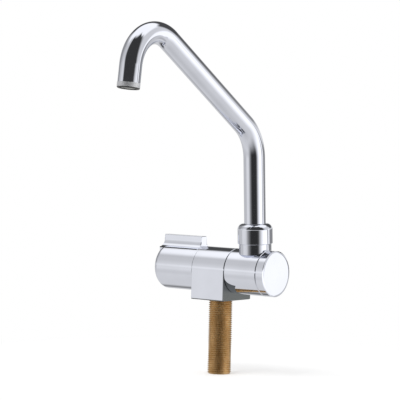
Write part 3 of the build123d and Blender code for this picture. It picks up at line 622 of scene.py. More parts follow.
def handle_finish_with_painted_shade():
    """Chrome plate with a painted shade line in the crease at each side of the tab's foot."""
    shade_line_reach, shade_line_blur, end_blur = 0.00055, 0.00015, 0.0002
    lever = bpy.context.scene.tap_lever
    radius = bpy.context.scene.tap_body.radius
    material, tree, shader, tint, haze = plate_shader("handle_plate_with_painted_shade")
    x, y, z = object_parts(tree)
    crease_y = lever.thickness / 2 + lever.draft + lever.foot_rounding
    crease_z = body_centre.z + math.sqrt(radius**2 - crease_y**2) + lever.foot_ledge / 2
    aside = calculate(tree, "SUBTRACT", calculate(tree, "ABSOLUTE", y), crease_y)
    above = calculate(tree, "SUBTRACT", z, crease_z)
    squared = calculate(tree, "MULTIPLY", above, above)
    reach = calculate(tree, "SQRT", calculate(tree, "MULTIPLY_ADD", aside, aside, squared))
    # Painted shade along the crease at each side of the tab's foot
    in_crease_shade = calculate(tree, "SUBTRACT", 1.0, soft_step(tree, reach, shade_line_reach, shade_line_blur))
    past_end = soft_step(tree, x, handle_low.x + lever.end_inset, end_blur)
    before_mouth = calculate(tree, "LESS_THAN", x, handle_high.x - lever.inset)
    mask = calculate(tree, "MULTIPLY", in_crease_shade, calculate(tree, "MULTIPLY", past_end, before_mouth))
    crease = tuple(bpy.context.scene.tap_finishes.crease)
    paint_shade_where(tree, shader, mask, tint, haze, crease, dull_roughness=0.3)
    return material


def nozzle_finish_with_painted_shade():
    """Satin chrome plate, brushed round the ring, with painted shade on its lower rim that stands
    in for the dark opening.
    """
    finishes = bpy.context.scene.tap_finishes
    sizes = bpy.context.scene.tap_spout
    base = tuple(finishes.satin)
    material, tree, shader = new_material("satin_plate_with_painted_shade", base, metallic=1.0, roughness=0.6)
    grain = noise(tree, scale=900, detail=3, stretch=(0.4, 0.4, 4))
    haze = vary_roughness(tree, shader, grain, smoothest=0.52, roughest=0.68)
    brushed = spread(tree, grain, low=0.35, high=0.65)
    tint = vary_colour(tree, shader, brushed, base, darker(base, 0.95))
    end, heading = tube_end(sizes)
    along = tree.nodes.new("ShaderNodeVectorMath")
    along.operation = "DOT_PRODUCT"
    along.inputs[1].default_value = heading
    tree.links.new(object_place(tree), along.inputs[0])
    # Painted shade on the lower rim, standing in for the dark opening of the bore
    rim = end.dot(heading) + sizes.nozzle_length - sizes.nozzle_shade_rim
    rim_blur = 0.0002
    mask = soft_step(tree, along.outputs["Value"], rim, rim_blur)
    paint_shade_where(tree, shader, mask, tint, haze, tuple(finishes.nozzle_shade_rim), dull_roughness=0.45)
    return material


def block_finish_with_painted_shade():
    """Chrome plate with painted dark reflection and shade on the block's two flat end faces and
    painted shade round its lower rim, both a little rougher.
    """
    end_skin, end_blur, rim_blur = 0.0001, 0.00005, 0.0001
    material, tree, shader, tint, haze = plate_shader("block_plate_with_painted_shade")
    x, y, z = object_parts(tree)
    # Painted dark reflection and shade on the flat end faces, painted shade round the base
    at_end = soft_step(tree, calculate(tree, "ABSOLUTE", x), block_high.x - end_skin, end_blur)
    above_rim = soft_step(tree, z, bpy.context.scene.tap_body.base_shade_height, rim_blur)
    mask = calculate(tree, "MAXIMUM", at_end, calculate(tree, "SUBTRACT", 1.0, above_rim))
    block_shade = tuple(bpy.context.scene.tap_finishes.painted_block_shade)
    paint_shade_where(tree, shader, mask, tint, haze, block_shade, dull_roughness=0.28)
    return material


def brass_finish():
    """Bare machined brass, tarnished unevenly, with fine turning marks."""
    if "bare_brass" in bpy.data.materials:
        return bpy.data.materials["bare_brass"]
    finishes = bpy.context.scene.tap_finishes
    base = tuple(finishes.brass)
    material, tree, shader = new_material("bare_brass", base, metallic=1.0, roughness=0.32)
    patches = noise(tree, scale=130, detail=6, stretch=(1, 1, 0.5))
    tarnish = spread(tree, patches, low=0.35, high=0.70)
    vary_colour(tree, shader, tarnish, base, tuple(finishes.brass_shade))
    vary_roughness(tree, shader, noise(tree, scale=420, detail=3), smoothest=0.36, roughest=0.54)
    marks = noise(tree, scale=900, detail=2, stretch=(0.4, 0.4, 6))
    add_bump(tree, shader, marks, strength=0.15, distance=0.0001)
    return material


def rubber_finish():
    """Black sealing rubber with a fine moulded grain."""
    base = tuple(bpy.context.scene.tap_finishes.rubber)
    material, tree, shader = new_material("seal_rubber", base, metallic=0.0, roughness=0.62)
    vary_roughness(tree, shader, noise(tree, scale=700, detail=4), smoothest=0.5, roughest=0.75)
    add_bump(tree, shader, noise(tree, scale=2200, detail=3), strength=0.25, distance=0.00005)
    return material


def ceramic_finish():
    """Lapped white ceramic: fine speckle under a satin gloss."""
    base = tuple(bpy.context.scene.tap_finishes.ceramic)
    material, tree, shader = new_material("lapped_ceramic", base, metallic=0.0, roughness=0.16)
    speckle = spread(tree, noise(tree, scale=1600, detail=5), low=0.45, high=0.75)
    vary_colour(tree, shader, speckle, base, darker(base, 0.93))
    vary_roughness(tree, shader, noise(tree, scale=500, detail=3), smoothest=0.12, roughest=0.22)
    return material


def acetal_finish():
    """Moulded acetal, slightly cloudy and satin."""
    base = tuple(bpy.context.scene.tap_finishes.acetal)
    material, tree, shader = new_material("moulded_acetal", base, metallic=0.0, roughness=0.38)
    cloud = spread(tree, noise(tree, scale=300, detail=3), low=0.35, high=0.65)
    vary_colour(tree, shader, cloud, base, darker(base, 0.90))
    vary_roughness(tree, shader, noise(tree, scale=900, detail=2), smoothest=0.32, roughest=0.46)
    return material


def steel_finish():
    """Stainless steel with a fine tumbled grain."""
    base = tuple(bpy.context.scene.tap_finishes.steel)
    material, tree, shader = new_material("tumbled_steel", base, metallic=1.0, roughness=0.3)
    grain = noise(tree, scale=1800, detail=4)
    vary_roughness(tree, shader, grain, smoothest=0.22, roughest=0.42)
    cloud = spread(tree, noise(tree, scale=350, detail=3), NOISE_LOW, NOISE_HIGH)
    vary_colour(tree, shader, cloud, base, darker(base, 0.88))
    add_bump(tree, shader, grain, strength=0.1, distance=0.00002)
    return material


class TAP_OT_block(bpy.types.Operator):
    """Block: an arch on straight sides, with the pockets for the valve, the pivot and the shank"""

    bl_idname = "tap.block"
    bl_label = "Block"

    base_steps = 8
    edge_steps = 5
    mouth_steps = 4
    ring_seat_radius = 0.0118
    ring_seat_depth = 0.0016
    valve_thread_radius = 0.0104
    valve_thread_depth = 0.0080
    valve_chamber_radius = 0.0098
    valve_chamber_depth = 0.0150
    waterway_radius = 0.0040
    waterway_end = 0.0030
    pivot_thread_radius = 0.0100
    pivot_thread_depth = 0.0085
    shank_socket_depth = 0.0095
    seal_inner_radius = 0.0115
    seal_outer_radius = 0.0155
    seal_depth = 0.0015
    seal_segments = 96

    def execute(self, context):
        sizes = context.scene.tap_body
        width = block_high.x - block_low.x
        piece = add_ring("block_casting", along_body, block_low.x, sizes.radius, sizes.segments)
        self.make_arch(piece, sizes, width)
        self.cut_pockets(piece, context.scene.tap_shank)
        stand_for(piece, "body_block", block_finish_with_painted_shade())
        return {"FINISHED"}

    def make_arch(self, piece, sizes, width):
        """Turn the selected circle into the block's arch and give it its width."""
        select_where(piece, "VERT", lambda vertex: vertex.co.z < body_centre.z - MERGE)
        bpy.ops.mesh.delete(type="VERT")
        select_where(piece, "VERT", lambda vertex: vertex.co.z < body_centre.z + MERGE)
        drop = Vector((0, 0, block_low.z - body_centre.z))
        bpy.ops.mesh.extrude_vertices_move(TRANSFORM_OT_translate={"value": drop})
        bpy.ops.mesh.edge_face_add()
        bpy.ops.mesh.select_all(action="SELECT")
        bpy.ops.mesh.edge_face_add()
        bpy.ops.mesh.extrude_region_move(TRANSFORM_OT_translate={"value": across * width})
        close_mesh()
        bpy.ops.object.mode_set(mode="EDIT")

        def at_base(edge):
            return max(vertex.co.z for vertex in edge.verts) < block_low.z + MERGE

        def at_end(edge, x):
            return max(abs(vertex.co.x - x) for vertex in edge.verts) < MERGE

        def lengthwise(edge):
            return abs(edge.verts[0].co.x - edge.verts[1].co.x) > width / 2

        select_where(piece, "EDGE", lambda edge: at_base(edge) and lengthwise(edge))
        round_edges(sizes.base_rounding, self.base_steps)
        select_where(piece, "EDGE", lambda edge: at_end(edge, block_high.x))
        round_edges(sizes.block_rounding, self.edge_steps)
        select_where(piece, "EDGE", lambda edge: at_end(edge, block_low.x))
        round_edges(sizes.mouth_rounding, self.mouth_steps)
        close_mesh()

    def cut_pockets(self, piece, shank):
        """Cut the valve's pocket, the pivot's socket, the shank's socket and the seal's groove."""
        mouth = block_low.x
        valve = [
            (mouth - CUT_SPARE, self.ring_seat_radius),
            (mouth + self.ring_seat_depth, self.ring_seat_radius),
            (mouth + self.ring_seat_depth, self.valve_thread_radius),
            (mouth + self.valve_thread_depth, self.valve_thread_radius),
            (mouth + self.valve_thread_depth, self.valve_chamber_radius),
            (mouth + self.valve_chamber_depth, self.valve_chamber_radius),
            (mouth + self.valve_chamber_depth, self.waterway_radius),
            (self.waterway_end, self.waterway_radius),
        ]
        bore(piece, "valve_pocket", along_body, valve)
        pivot = [
            (block_high.x - self.pivot_thread_depth, self.pivot_thread_radius),
            (block_high.x + CUT_SPARE, self.pivot_thread_radius),
        ]
        bore(piece, "pivot_pocket", along_body, pivot)
        socket = [(-CUT_SPARE, shank.root_radius), (self.shank_socket_depth, shank.root_radius)]
        bore(piece, "shank_socket", along_shank, socket)
        groove = [
            (-CUT_SPARE, self.seal_inner_radius),
            (-CUT_SPARE, self.seal_outer_radius),
            (self.seal_depth, self.seal_outer_radius),
            (self.seal_depth, self.seal_inner_radius),
        ]
        tool = turn_piece("seal_groove", along_shank, groove, self.seal_segments)
        combine(piece, tool, "DIFFERENCE")


class TAP_OT_handle(bpy.types.Operator):
    """Handle: a cup with a rounded end and a lever tab that grows out of it on a hollow foot"""

    bl_idname = "tap.handle"
    bl_label = "Handle"

    foot_steps = 12
    corner_steps = 5
    plain_steps = 168
    straight_steps = 8
    rounding_steps = 14
    flat_steps = 6
    edge_steps = 4
    key_hole_segments = 40
    seam_angle = 3.1
    foot_gap = 0.015
    end_clearance = 2.2

    def execute(self, context):
        body = context.scene.tap_body
        lever = context.scene.tap_lever
        mouth = handle_high.x + body.mouth_reach
        first = self.section(lever, body.radius, False)
        piece = add_ring("handle_casting", along_body, mouth, body.radius, len(first))
        self.shape_ring(piece, mouth, first)
        for station, radius, with_tab in self.stations(body, lever):
            bpy.ops.mesh.extrude_edges_move(TRANSFORM_OT_translate={"value": (0, 0, 0)})
            self.shape_ring(piece, station, self.section(lever, radius, with_tab))
        bpy.ops.mesh.edge_face_add()
        self.hollow(piece, body)
        self.soften_tab(piece, body, lever)
        self.drill_key_hole(piece, body)
        stand_for(piece, "handle", handle_finish_with_painted_shade())
        return {"FINISHED"}

    def stations(self, body, lever):
        """Rings from the mouth to the closed end, as (x, radius, whether the tab stands there)."""
        mouth = handle_high.x
        end = handle_low.x
        tab_start = mouth - lever.inset
        tab_end = end + lever.end_inset
        rounding_start = end + body.end_rounding
        rings = [(tab_start, body.radius, False)]
        for step in range(self.straight_steps + 1):
            x = tab_start + (rounding_start - tab_start) * step / self.straight_steps
            rings.append((x, body.radius, True))
        last_angle = math.asin((rounding_start - tab_end) / body.end_rounding)
        for step in range(1, self.rounding_steps + 1):
            angle = last_angle * step / self.rounding_steps
            rings.append((*self.rounded_end(body, angle), True))
        for step in range(self.flat_steps + 1):
            angle = last_angle + (math.pi / 2 - last_angle) * step / self.flat_steps
            rings.append((*self.rounded_end(body, angle), False))
        return rings

    def rounded_end(self, body, angle):
        """Place and radius of the closed end's rounding at an angle from the cylinder."""
        x = handle_low.x + body.end_rounding * (1 - math.sin(angle))
        radius = body.radius - body.end_rounding * (1 - math.cos(angle))
        return x, radius

    def section(self, lever, radius, with_tab):
        """Outline of the handle as (y, z) about its axis, from the rear of the tab to its front."""
        foot_half = lever.thickness / 2 + lever.draft
        hollow = lever.foot_rounding
        full_radius = bpy.context.scene.tap_body.radius
        centre_y = foot_half + hollow
        crease_z = math.sqrt(full_radius**2 - centre_y**2)
        centre_z = crease_z + lever.foot_ledge + hollow
        top = handle_high.z - body_centre.z
        corner_y = lever.thickness / 2 - lever.top_rounding
        corner_z = top - lever.top_rounding
        half = [(0.0, top)]
        for step in range(self.corner_steps + 1):
            angle = math.pi / 2 * (1 - step / self.corner_steps)
            y = corner_y + lever.top_rounding * math.cos(angle)
            half.append((y, corner_z + lever.top_rounding * math.sin(angle)))
        for step in range(self.foot_steps + 1):
            angle = math.pi + math.pi / 2 * step / self.foot_steps
            half.append((centre_y + hollow * math.cos(angle), centre_z + hollow * math.sin(angle)))
        half.append((centre_y, crease_z))
        if not with_tab:
            half = [self.on_circle(point, radius) for point in half]
        beside_foot = math.asin(centre_y / full_radius) + self.foot_gap
        side_angle = max(math.asin(centre_y / radius), beside_foot)
        plain = []
        for step in range(self.plain_steps + 1):
            angle = side_angle + (2 * math.pi - 2 * side_angle) * step / self.plain_steps
            plain.append((radius * math.sin(angle), radius * math.cos(angle)))
        front = [(-y, z) for y, z in reversed(half[1:])]
        return half + plain + front

    def on_circle(self, point, radius):
        """The point of a circle below a point of the tab."""
        reach = math.hypot(*point)
        return point[0] * radius / reach, point[1] * radius / reach

    def bearing(self, y, z):
        """Angle round the axis, counted from a line just beside the lowest point."""
        return (math.atan2(y, z) - self.seam_angle) % (2 * math.pi)

    def shape_ring(self, piece, x, section):
        """Move the selected ring onto a section of the handle. Both are sorted round the axis."""
        mesh = bmesh.from_edit_mesh(piece.data)
        ring = [vertex for vertex in mesh.verts if vertex.select]
        ring.sort(key=lambda vertex: self.bearing(vertex.co.y, vertex.co.z - body_centre.z))
        points = sorted(section, key=lambda point: self.bearing(*point))
        if len(ring) != len(points):
            raise RuntimeError(f"the ring has {len(ring)} points and its section {len(points)}")
        for vertex, (y, z) in zip(ring, points):
            vertex.co = Vector((x, y, body_centre.z + z))
        bmesh.update_edit_mesh(piece.data)

    def hollow(self, piece, body):
        """Extrude the mouth's ring inwards: bore, end wall, boss and the boss's own bore."""
        mouth = handle_high.x + body.mouth_reach
        end_wall = handle_low.x + body.end_wall
        boss = handle_high.x - body.boss_setback
        inner = [
            (mouth, body.radius),
            (mouth, body.radius - body.wall),
            (end_wall, body.radius - body.wall),
            (end_wall, body.boss_radius),
            (boss, body.boss_radius),
            (boss, body.boss_bore),
            (boss - body.boss_depth, body.boss_bore),
        ]
        bpy.ops.mesh.select_all(action="SELECT")
        bpy.ops.mesh.remove_doubles(threshold=MERGE)
        select_ring(piece, along_body, *inner[0])
        for start, end in zip(inner, inner[1:]):
            extrude_ring(along_body, start, end)
        bpy.ops.mesh.edge_face_add()
        select_ring(piece, along_body, *inner[0])
        round_edges(body.mouth_rounding, self.edge_steps)
        close_mesh()

    def soften_tab(self, piece, body, lever):
        """Round the upright edges at the tab's two ends."""
        bpy.ops.object.mode_set(mode="EDIT")
        ends = (handle_high.x - lever.inset, handle_low.x + lever.end_inset)
        clear = body.radius + self.end_clearance * lever.end_rounding

        def at_end(vertex):
            height = math.hypot(vertex.co.y, vertex.co.z - body_centre.z)
            return height > clear and min(abs(vertex.co.x - end) for end in ends) < MERGE

        select_where(piece, "EDGE", lambda edge: all(at_end(vertex) for vertex in edge.verts))
        round_edges(lever.end_rounding, self.edge_steps)
        close_mesh()

    def drill_key_hole(self, piece, body):
        """Drill the hole for the key of the grub screw."""
        angle = body.key_hole_angle
        direction = Vector((0, math.cos(angle), math.sin(angle)))
        x = handle_high.x - body.boss_setback - body.key_hole_setback
        place = lathe_place(Vector((x, 0, body_centre.z)), direction)
        hole = [(0.0, body.key_hole_radius), (body.radius + CUT_SPARE, body.key_hole_radius)]
        bore(piece, "key_hole", place, hole, self.key_hole_segments)


class TAP_OT_drum(bpy.types.Operator):
    """Drum that carries the spout, with its bore, water chamber and hole for the neck"""

    bl_idname = "tap.drum"
    bl_label = "Drum"

    seam_steps = 4
    cap_steps = 5
    washer_recess_radius = 0.0128
    washer_recess_depth = 0.0012
    bore_radius = 0.00905
    chamber_radius = 0.0125
    chamber_half_length = 0.0056
    cap_socket_depth = 0.0036
    neck_clearance = 0.0006

    def execute(self, context):
        sizes = context.scene.tap_body
        spout = context.scene.tap_spout
        start = drum_low.x
        end = drum_high.x
        recess = start + self.washer_recess_depth
        socket = end - self.cap_socket_depth
        chamber_start = spout_centre.x - self.chamber_half_length
        chamber_end = spout_centre.x + self.chamber_half_length
        outline = [
            (start, self.washer_recess_radius),
            (start, sizes.radius),
            (end, sizes.radius),
            (end, CAP_SOCKET_RADIUS),
            (socket, CAP_SOCKET_RADIUS),
            (socket, self.bore_radius),
            (chamber_end, self.bore_radius),
            (chamber_end, self.chamber_radius),
            (chamber_start, self.chamber_radius),
            (chamber_start, self.bore_radius),
            (recess, self.bore_radius),
            (recess, self.washer_recess_radius),
        ]
        roundings = [
            (start, sizes.radius, sizes.seam_rounding, self.seam_steps),
            (end, sizes.radius, sizes.cap_seam, self.cap_steps),
        ]
        piece = turn_piece("drum_shell", along_body, outline, sizes.segments, roundings)
        hole = [
            (spout.neck_bottom - self.neck_clearance, spout.neck_spigot),
            (sizes.radius + CUT_SPARE, spout.neck_spigot),
        ]
        bore(piece, "neck_hole", along_spout, hole)
        stand_for(piece, "spout_drum", chrome_finish())
        return {"FINISHED"}


class TAP_OT_end_cap(bpy.types.Operator):
    """End cap: a polished disc with a shallow crown round its face and a spigot in the drum"""

    bl_idname = "tap.end_cap"
    bl_label = "End cap"

    crown_steps = 10
    seam_steps = 5
    face_margin = 0.0002
    wall = 0.003
    hollow_radius = 0.0141

    def execute(self, context):
        sizes = context.scene.tap_body
        seam = drum_high.x
        outline = [
            (cap_high.x - self.wall, self.hollow_radius),
            (cap_low.x, self.hollow_radius),
            (cap_low.x, CAP_SOCKET_RADIUS),
            (seam, CAP_SOCKET_RADIUS),
            (seam, sizes.radius),
        ]
        face_radius = sizes.radius - sizes.cap_crown
        bend = (sizes.cap_crown**2 + sizes.cap_drop**2) / (2 * sizes.cap_drop)
        last_angle = math.asin(sizes.cap_crown / bend)
        for step in range(self.crown_steps + 1):
            angle = last_angle * (1 - step / self.crown_steps)
            drop = bend * (1 - math.cos(angle))
            outline.append((cap_high.x - drop, face_radius + bend * math.sin(angle)))
        outline.append((cap_high.x, face_radius - self.face_margin))
        roundings = [(seam, sizes.radius, sizes.cap_seam, self.seam_steps)]
        piece = turn_piece(
            "end_cap_disc", along_body, outline, sizes.segments, roundings, solid=True
        )
        stand_for(piece, "end_cap", chrome_finish())
        return {"FINISHED"}


class TAP_OT_neck(bpy.types.Operator):
    """Neck: a collar saddled on the drum, its spigot below and the nut's thread above"""

    bl_idname = "tap.neck"
    bl_label = "Neck"

    thread_overlap = 0.001

    def execute(self, context):
        sizes = context.scene.tap_spout
        body = context.scene.tap_body
        collar = [(sizes.neck_seat, sizes.neck_radius), (sizes.neck_height, sizes.neck_radius)]
        piece = turn_piece("neck_collar", along_spout, collar, sizes.ring_segments, solid=True)
        drum = [(drum_low.x - CUT_SPARE, body.radius), (drum_high.x + CUT_SPARE, body.radius)]
        bore(piece, "saddle", along_body, drum, body.segments)
        top = sizes.neck_height + sizes.thread_length
        thread_root = sizes.neck_height - self.thread_overlap
        core = [
            (sizes.neck_bottom, sizes.neck_spigot),
            (thread_root, sizes.neck_spigot),
            (thread_root, sizes.thread_radius),
            (top, sizes.thread_radius),
        ]
        core_rod = turn_piece("core", along_spout, core, sizes.ring_segments, solid=True)
        combine(piece, core_rod, "UNION")
        water = [
            (sizes.neck_bottom - CUT_SPARE, sizes.neck_bore),
            (sizes.neck_socket_floor, sizes.neck_bore),
            (sizes.neck_socket_floor, sizes.neck_socket),
            (top + CUT_SPARE, sizes.neck_socket),
        ]
        bore(piece, "socket", along_spout, water)
        stand_for(piece, "outlet_neck", chrome_finish())
        return {"FINISHED"}


class TAP_OT_nut(bpy.types.Operator):
    """Swivel nut with its round shoulder"""

    bl_idname = "tap.nut"
    bl_label = "Swivel nut"

    edge_steps = 4
    shoulder_steps = 14

    def execute(self, context):
        sizes = context.scene.tap_spout
        bottom = sizes.neck_height + sizes.nut_seam
        top = bottom + sizes.nut_length
        outline = [
            (bottom, sizes.thread_radius),
            (bottom, sizes.nut_radius),
            (top, sizes.nut_radius),
            (top, sizes.nut_hole),
            (sizes.nut_ceiling, sizes.nut_hole),
            (sizes.nut_ceiling, sizes.thread_radius),
        ]
        roundings = [
            (bottom, sizes.nut_radius, sizes.nut_edge, self.edge_steps),
            (top, sizes.nut_radius, sizes.nut_shoulder, self.shoulder_steps),
        ]
        piece = turn_piece("nut_shell", along_spout, outline, sizes.ring_segments, roundings)
        stand_for(piece, "swivel_nut", chrome_finish())
        return {"FINISHED"}


class TAP_OT_tube(bpy.types.Operator):
    """Spout tube: a ring extruded up the stem, spun round each bend and extruded along the arm"""

    bl_idname = "tap.tube"
    bl_label = "Spout tube"

    stem_steps = 8
    bend_1_steps = 30
    arm_steps = 14
    bend_2_steps = 60
    tail_steps = 2

    def execute(self, context):
        sizes = context.scene.tap_spout
        foot = (sizes.foot_height, sizes.tube_radius)
        piece = add_ring("bent_tube", along_spout, *foot, sizes.tube_segments)
        self.run_straight(spout_up, sizes.bend_1_height - sizes.foot_height, self.stem_steps)
        point = spout_centre + spout_up * sizes.bend_1_height
        bend = (sizes.bend_1_radius, sizes.bend_1_angle, self.bend_1_steps)
        point, heading = self.spin_bend(point, spout_up, *bend)
        self.run_straight(heading, sizes.arm, self.arm_steps)
        point += heading * sizes.arm
        bend = (sizes.bend_2_radius, sizes.bend_2_angle, self.bend_2_steps)
        point, heading = self.spin_bend(point, heading, *bend)
        self.run_straight(heading, sizes.tail, self.tail_steps)
        close_mesh()
        pick(piece)
        wall = piece.modifiers.new("wall", "SOLIDIFY")
        wall.thickness = sizes.tube_wall
        wall.offset = -1
        bpy.ops.object.modifier_apply(modifier=wall.name)
        stand_for(piece, "spout_tube", chrome_finish())
        return {"FINISHED"}

    def run_straight(self, heading, distance, steps):
        """Extrude the selected ring along a straight run."""
        move = heading * (distance / steps)
        for _ in range(steps):
            bpy.ops.mesh.extrude_edges_move(TRANSFORM_OT_translate={"value": move})

    def spin_bend(self, point, heading, radius, angle, steps):
        """Spin the selected ring round a bend. Returns the tube's point and heading after it."""
        inwards = across.cross(heading)
        centre = point + inwards * radius
        bpy.ops.mesh.spin(steps=steps, dupli=False, angle=angle, center=centre, axis=-across)
        turn = Matrix.Rotation(angle, 3, across)
        return centre + turn @ (point - centre), turn @ heading


class TAP_OT_nozzle(bpy.types.Operator):
    """Nozzle ring at the end of the tube"""

    bl_idname = "tap.nozzle"
    bl_label = "Nozzle"

    edge_steps = 8

    def execute(self, context):
        sizes = context.scene.tap_spout
        end, heading = tube_end(sizes)
        place = lathe_place(end, heading)
        tube_bore = sizes.tube_radius - sizes.tube_wall
        radius = sizes.tube_radius + sizes.nozzle_lip
        outline = [
            (-sizes.nozzle_spigot, sizes.nozzle_bore),
            (-sizes.nozzle_spigot, tube_bore),
            (0.0, tube_bore),
            (0.0, radius),
            (sizes.nozzle_length, radius),
            (sizes.nozzle_length, sizes.nozzle_bore),
        ]
        roundings = [(sizes.nozzle_length, radius, sizes.nozzle_edge, self.edge_steps)]
        piece = turn_piece("nozzle_tip", place, outline, sizes.tube_segments, roundings)
        stand_for(piece, "nozzle_ring", nozzle_finish_with_painted_shade())
        return {"FINISHED"}


def tube_end(sizes):
    """Point and heading of the tube's lower end, above the nozzle."""
    point = spout_centre + spout_up * sizes.bend_1_height
    heading = spout_up
    for radius, angle, run in (
        (sizes.bend_1_radius, sizes.bend_1_angle, sizes.arm),
        (sizes.bend_2_radius, sizes.bend_2_angle, sizes.tail),
    ):
        centre = point + across.cross(heading) * radius
        turn = Matrix.Rotation(angle, 3, across)
        point = centre + turn @ (point - centre)
        heading = turn @ heading
        point += heading * run
    return point, heading


class TAP_OT_shank(bpy.types.Operator):
    """Threaded shank: one turn of the thread's outline screwed down its whole length"""

    bl_idname = "tap.shank"
    bl_label = "Threaded shank"

    crest_steps = 4
    turns_below = 3
    turns_above = 2
    trimmed_turns = 1.5
    envelope_spare = 0.0005

    def execute(self, context):
        sizes = context.scene.tap_shank
        piece = self.screw_thread(sizes)
        reach = sizes.radius + self.envelope_spare
        envelope = [
            (shank_high.z, sizes.bore),
            (shank_high.z, sizes.root_radius),
            (0.0, sizes.root_radius),
            (0.0, reach),
            (shank_low.z + sizes.chamfer + self.envelope_spare, reach),
            (shank_low.z, sizes.radius - sizes.chamfer),
            (shank_low.z, sizes.bore + sizes.bore_chamfer),
            (shank_low.z + sizes.bore_chamfer, sizes.bore),
        ]
        tool = turn_piece("envelope", along_shank, envelope, sizes.segments)
        combine(piece, tool, "INTERSECT")
        stand_for(piece, "threaded_shank", brass_finish())
        return {"FINISHED"}

    def thread_points(self, sizes):
        """One pitch of the thread, from crest to crest, as (rise, radius)."""
        drop_angle = math.pi / 2 - sizes.flank
        half_pitch = sizes.pitch / 2
        sharp_depth = half_pitch / math.tan(sizes.flank)
        rounding = (sharp_depth - sizes.depth) / 2 / (1 / math.sin(sizes.flank) - 1)
        root = sizes.radius - sizes.depth
        steps = self.crest_steps
        points = []
        for middle, level, side, first, last in (
            (0.0, sizes.radius, -1, 0, steps),
            (half_pitch, root, 1, -steps, steps),
            (sizes.pitch, sizes.radius, -1, -steps, 0),
        ):
            for step in range(first, last + 1):
                angle = drop_angle * step / steps
                change = rounding * (1 - math.cos(angle))
                points.append((middle + rounding * math.sin(angle), level + side * change))
        return points

    def screw_thread(self, sizes):
        """The thread as a solid rod, longer than the shank at both ends."""
        clear_selection()
        bottom = shank_low.z - self.turns_below * sizes.pitch
        turns = math.ceil((shank_high.z - bottom) / sizes.pitch) + self.turns_above
        bpy.ops.mesh.primitive_plane_add(size=sizes.pitch, location=(0, 0, 0))
        piece = bpy.context.object
        piece.name = "shank_thread"
        piece.data.name = "shank_thread"
        bpy.ops.object.mode_set(mode="EDIT")
        bpy.ops.mesh.select_mode(type="VERT")
        bpy.ops.mesh.merge(type="CENTER")
        points = self.thread_points(sizes)
        bpy.ops.transform.translate(value=(points[0][1], 0, bottom))
        for start, end in zip(points, points[1:]):
            step = Vector((end[1] - start[1], 0, end[0] - start[0]))
            bpy.ops.mesh.extrude_vertices_move(TRANSFORM_OT_translate={"value": step})
        bpy.ops.object.mode_set(mode="OBJECT")
        pick(piece)
        screw = piece.modifiers.new("thread", "SCREW")
        screw.screw_offset = sizes.pitch
        screw.iterations = turns
        screw.steps = sizes.segments
        screw.render_steps = sizes.segments
        bpy.ops.object.modifier_apply(modifier=screw.name)
        bpy.ops.object.mode_set(mode="EDIT")
        bpy.ops.mesh.select_all(action="SELECT")
        bpy.ops.mesh.remove_doubles(threshold=MERGE)
        lower_cut = bottom + self.trimmed_turns * sizes.pitch
        upper_cut = shank_high.z + sizes.pitch
        for height, outer in ((lower_cut, False), (upper_cut, True)):
            bpy.ops.mesh.select_all(action="SELECT")
            bpy.ops.mesh.bisect(
                plane_co=(0, 0, height),
                plane_no=upwards,
                use_fill=True,
                clear_inner=not outer,
                clear_outer=outer,
            )
        close_mesh()
        return piece


class TAP_OT_inner_parts(bpy.types.Operator):
    """Finishes of the valve, pivot, seals, clips and washers, which keep their own shapes"""

    bl_idname = "tap.inner_parts"
    bl_label = "Inner parts"

    def execute(self, context):
        finishes = {
            "chrome": chrome_finish(),
            "brass": brass_finish(),
            "rubber": rubber_finish(),
            "ceramic": ceramic_finish(),
            "plastic": acetal_finish(),
            "steel": steel_finish(),
        }
        for entry in frame["record"]["subparts"]:
            part = frame["nodes"][entry["node"]]
            part.data.materials.clear()
            part.data.materials.append(finishes[entry["material_slot"]])
        return {"FINISHED"}


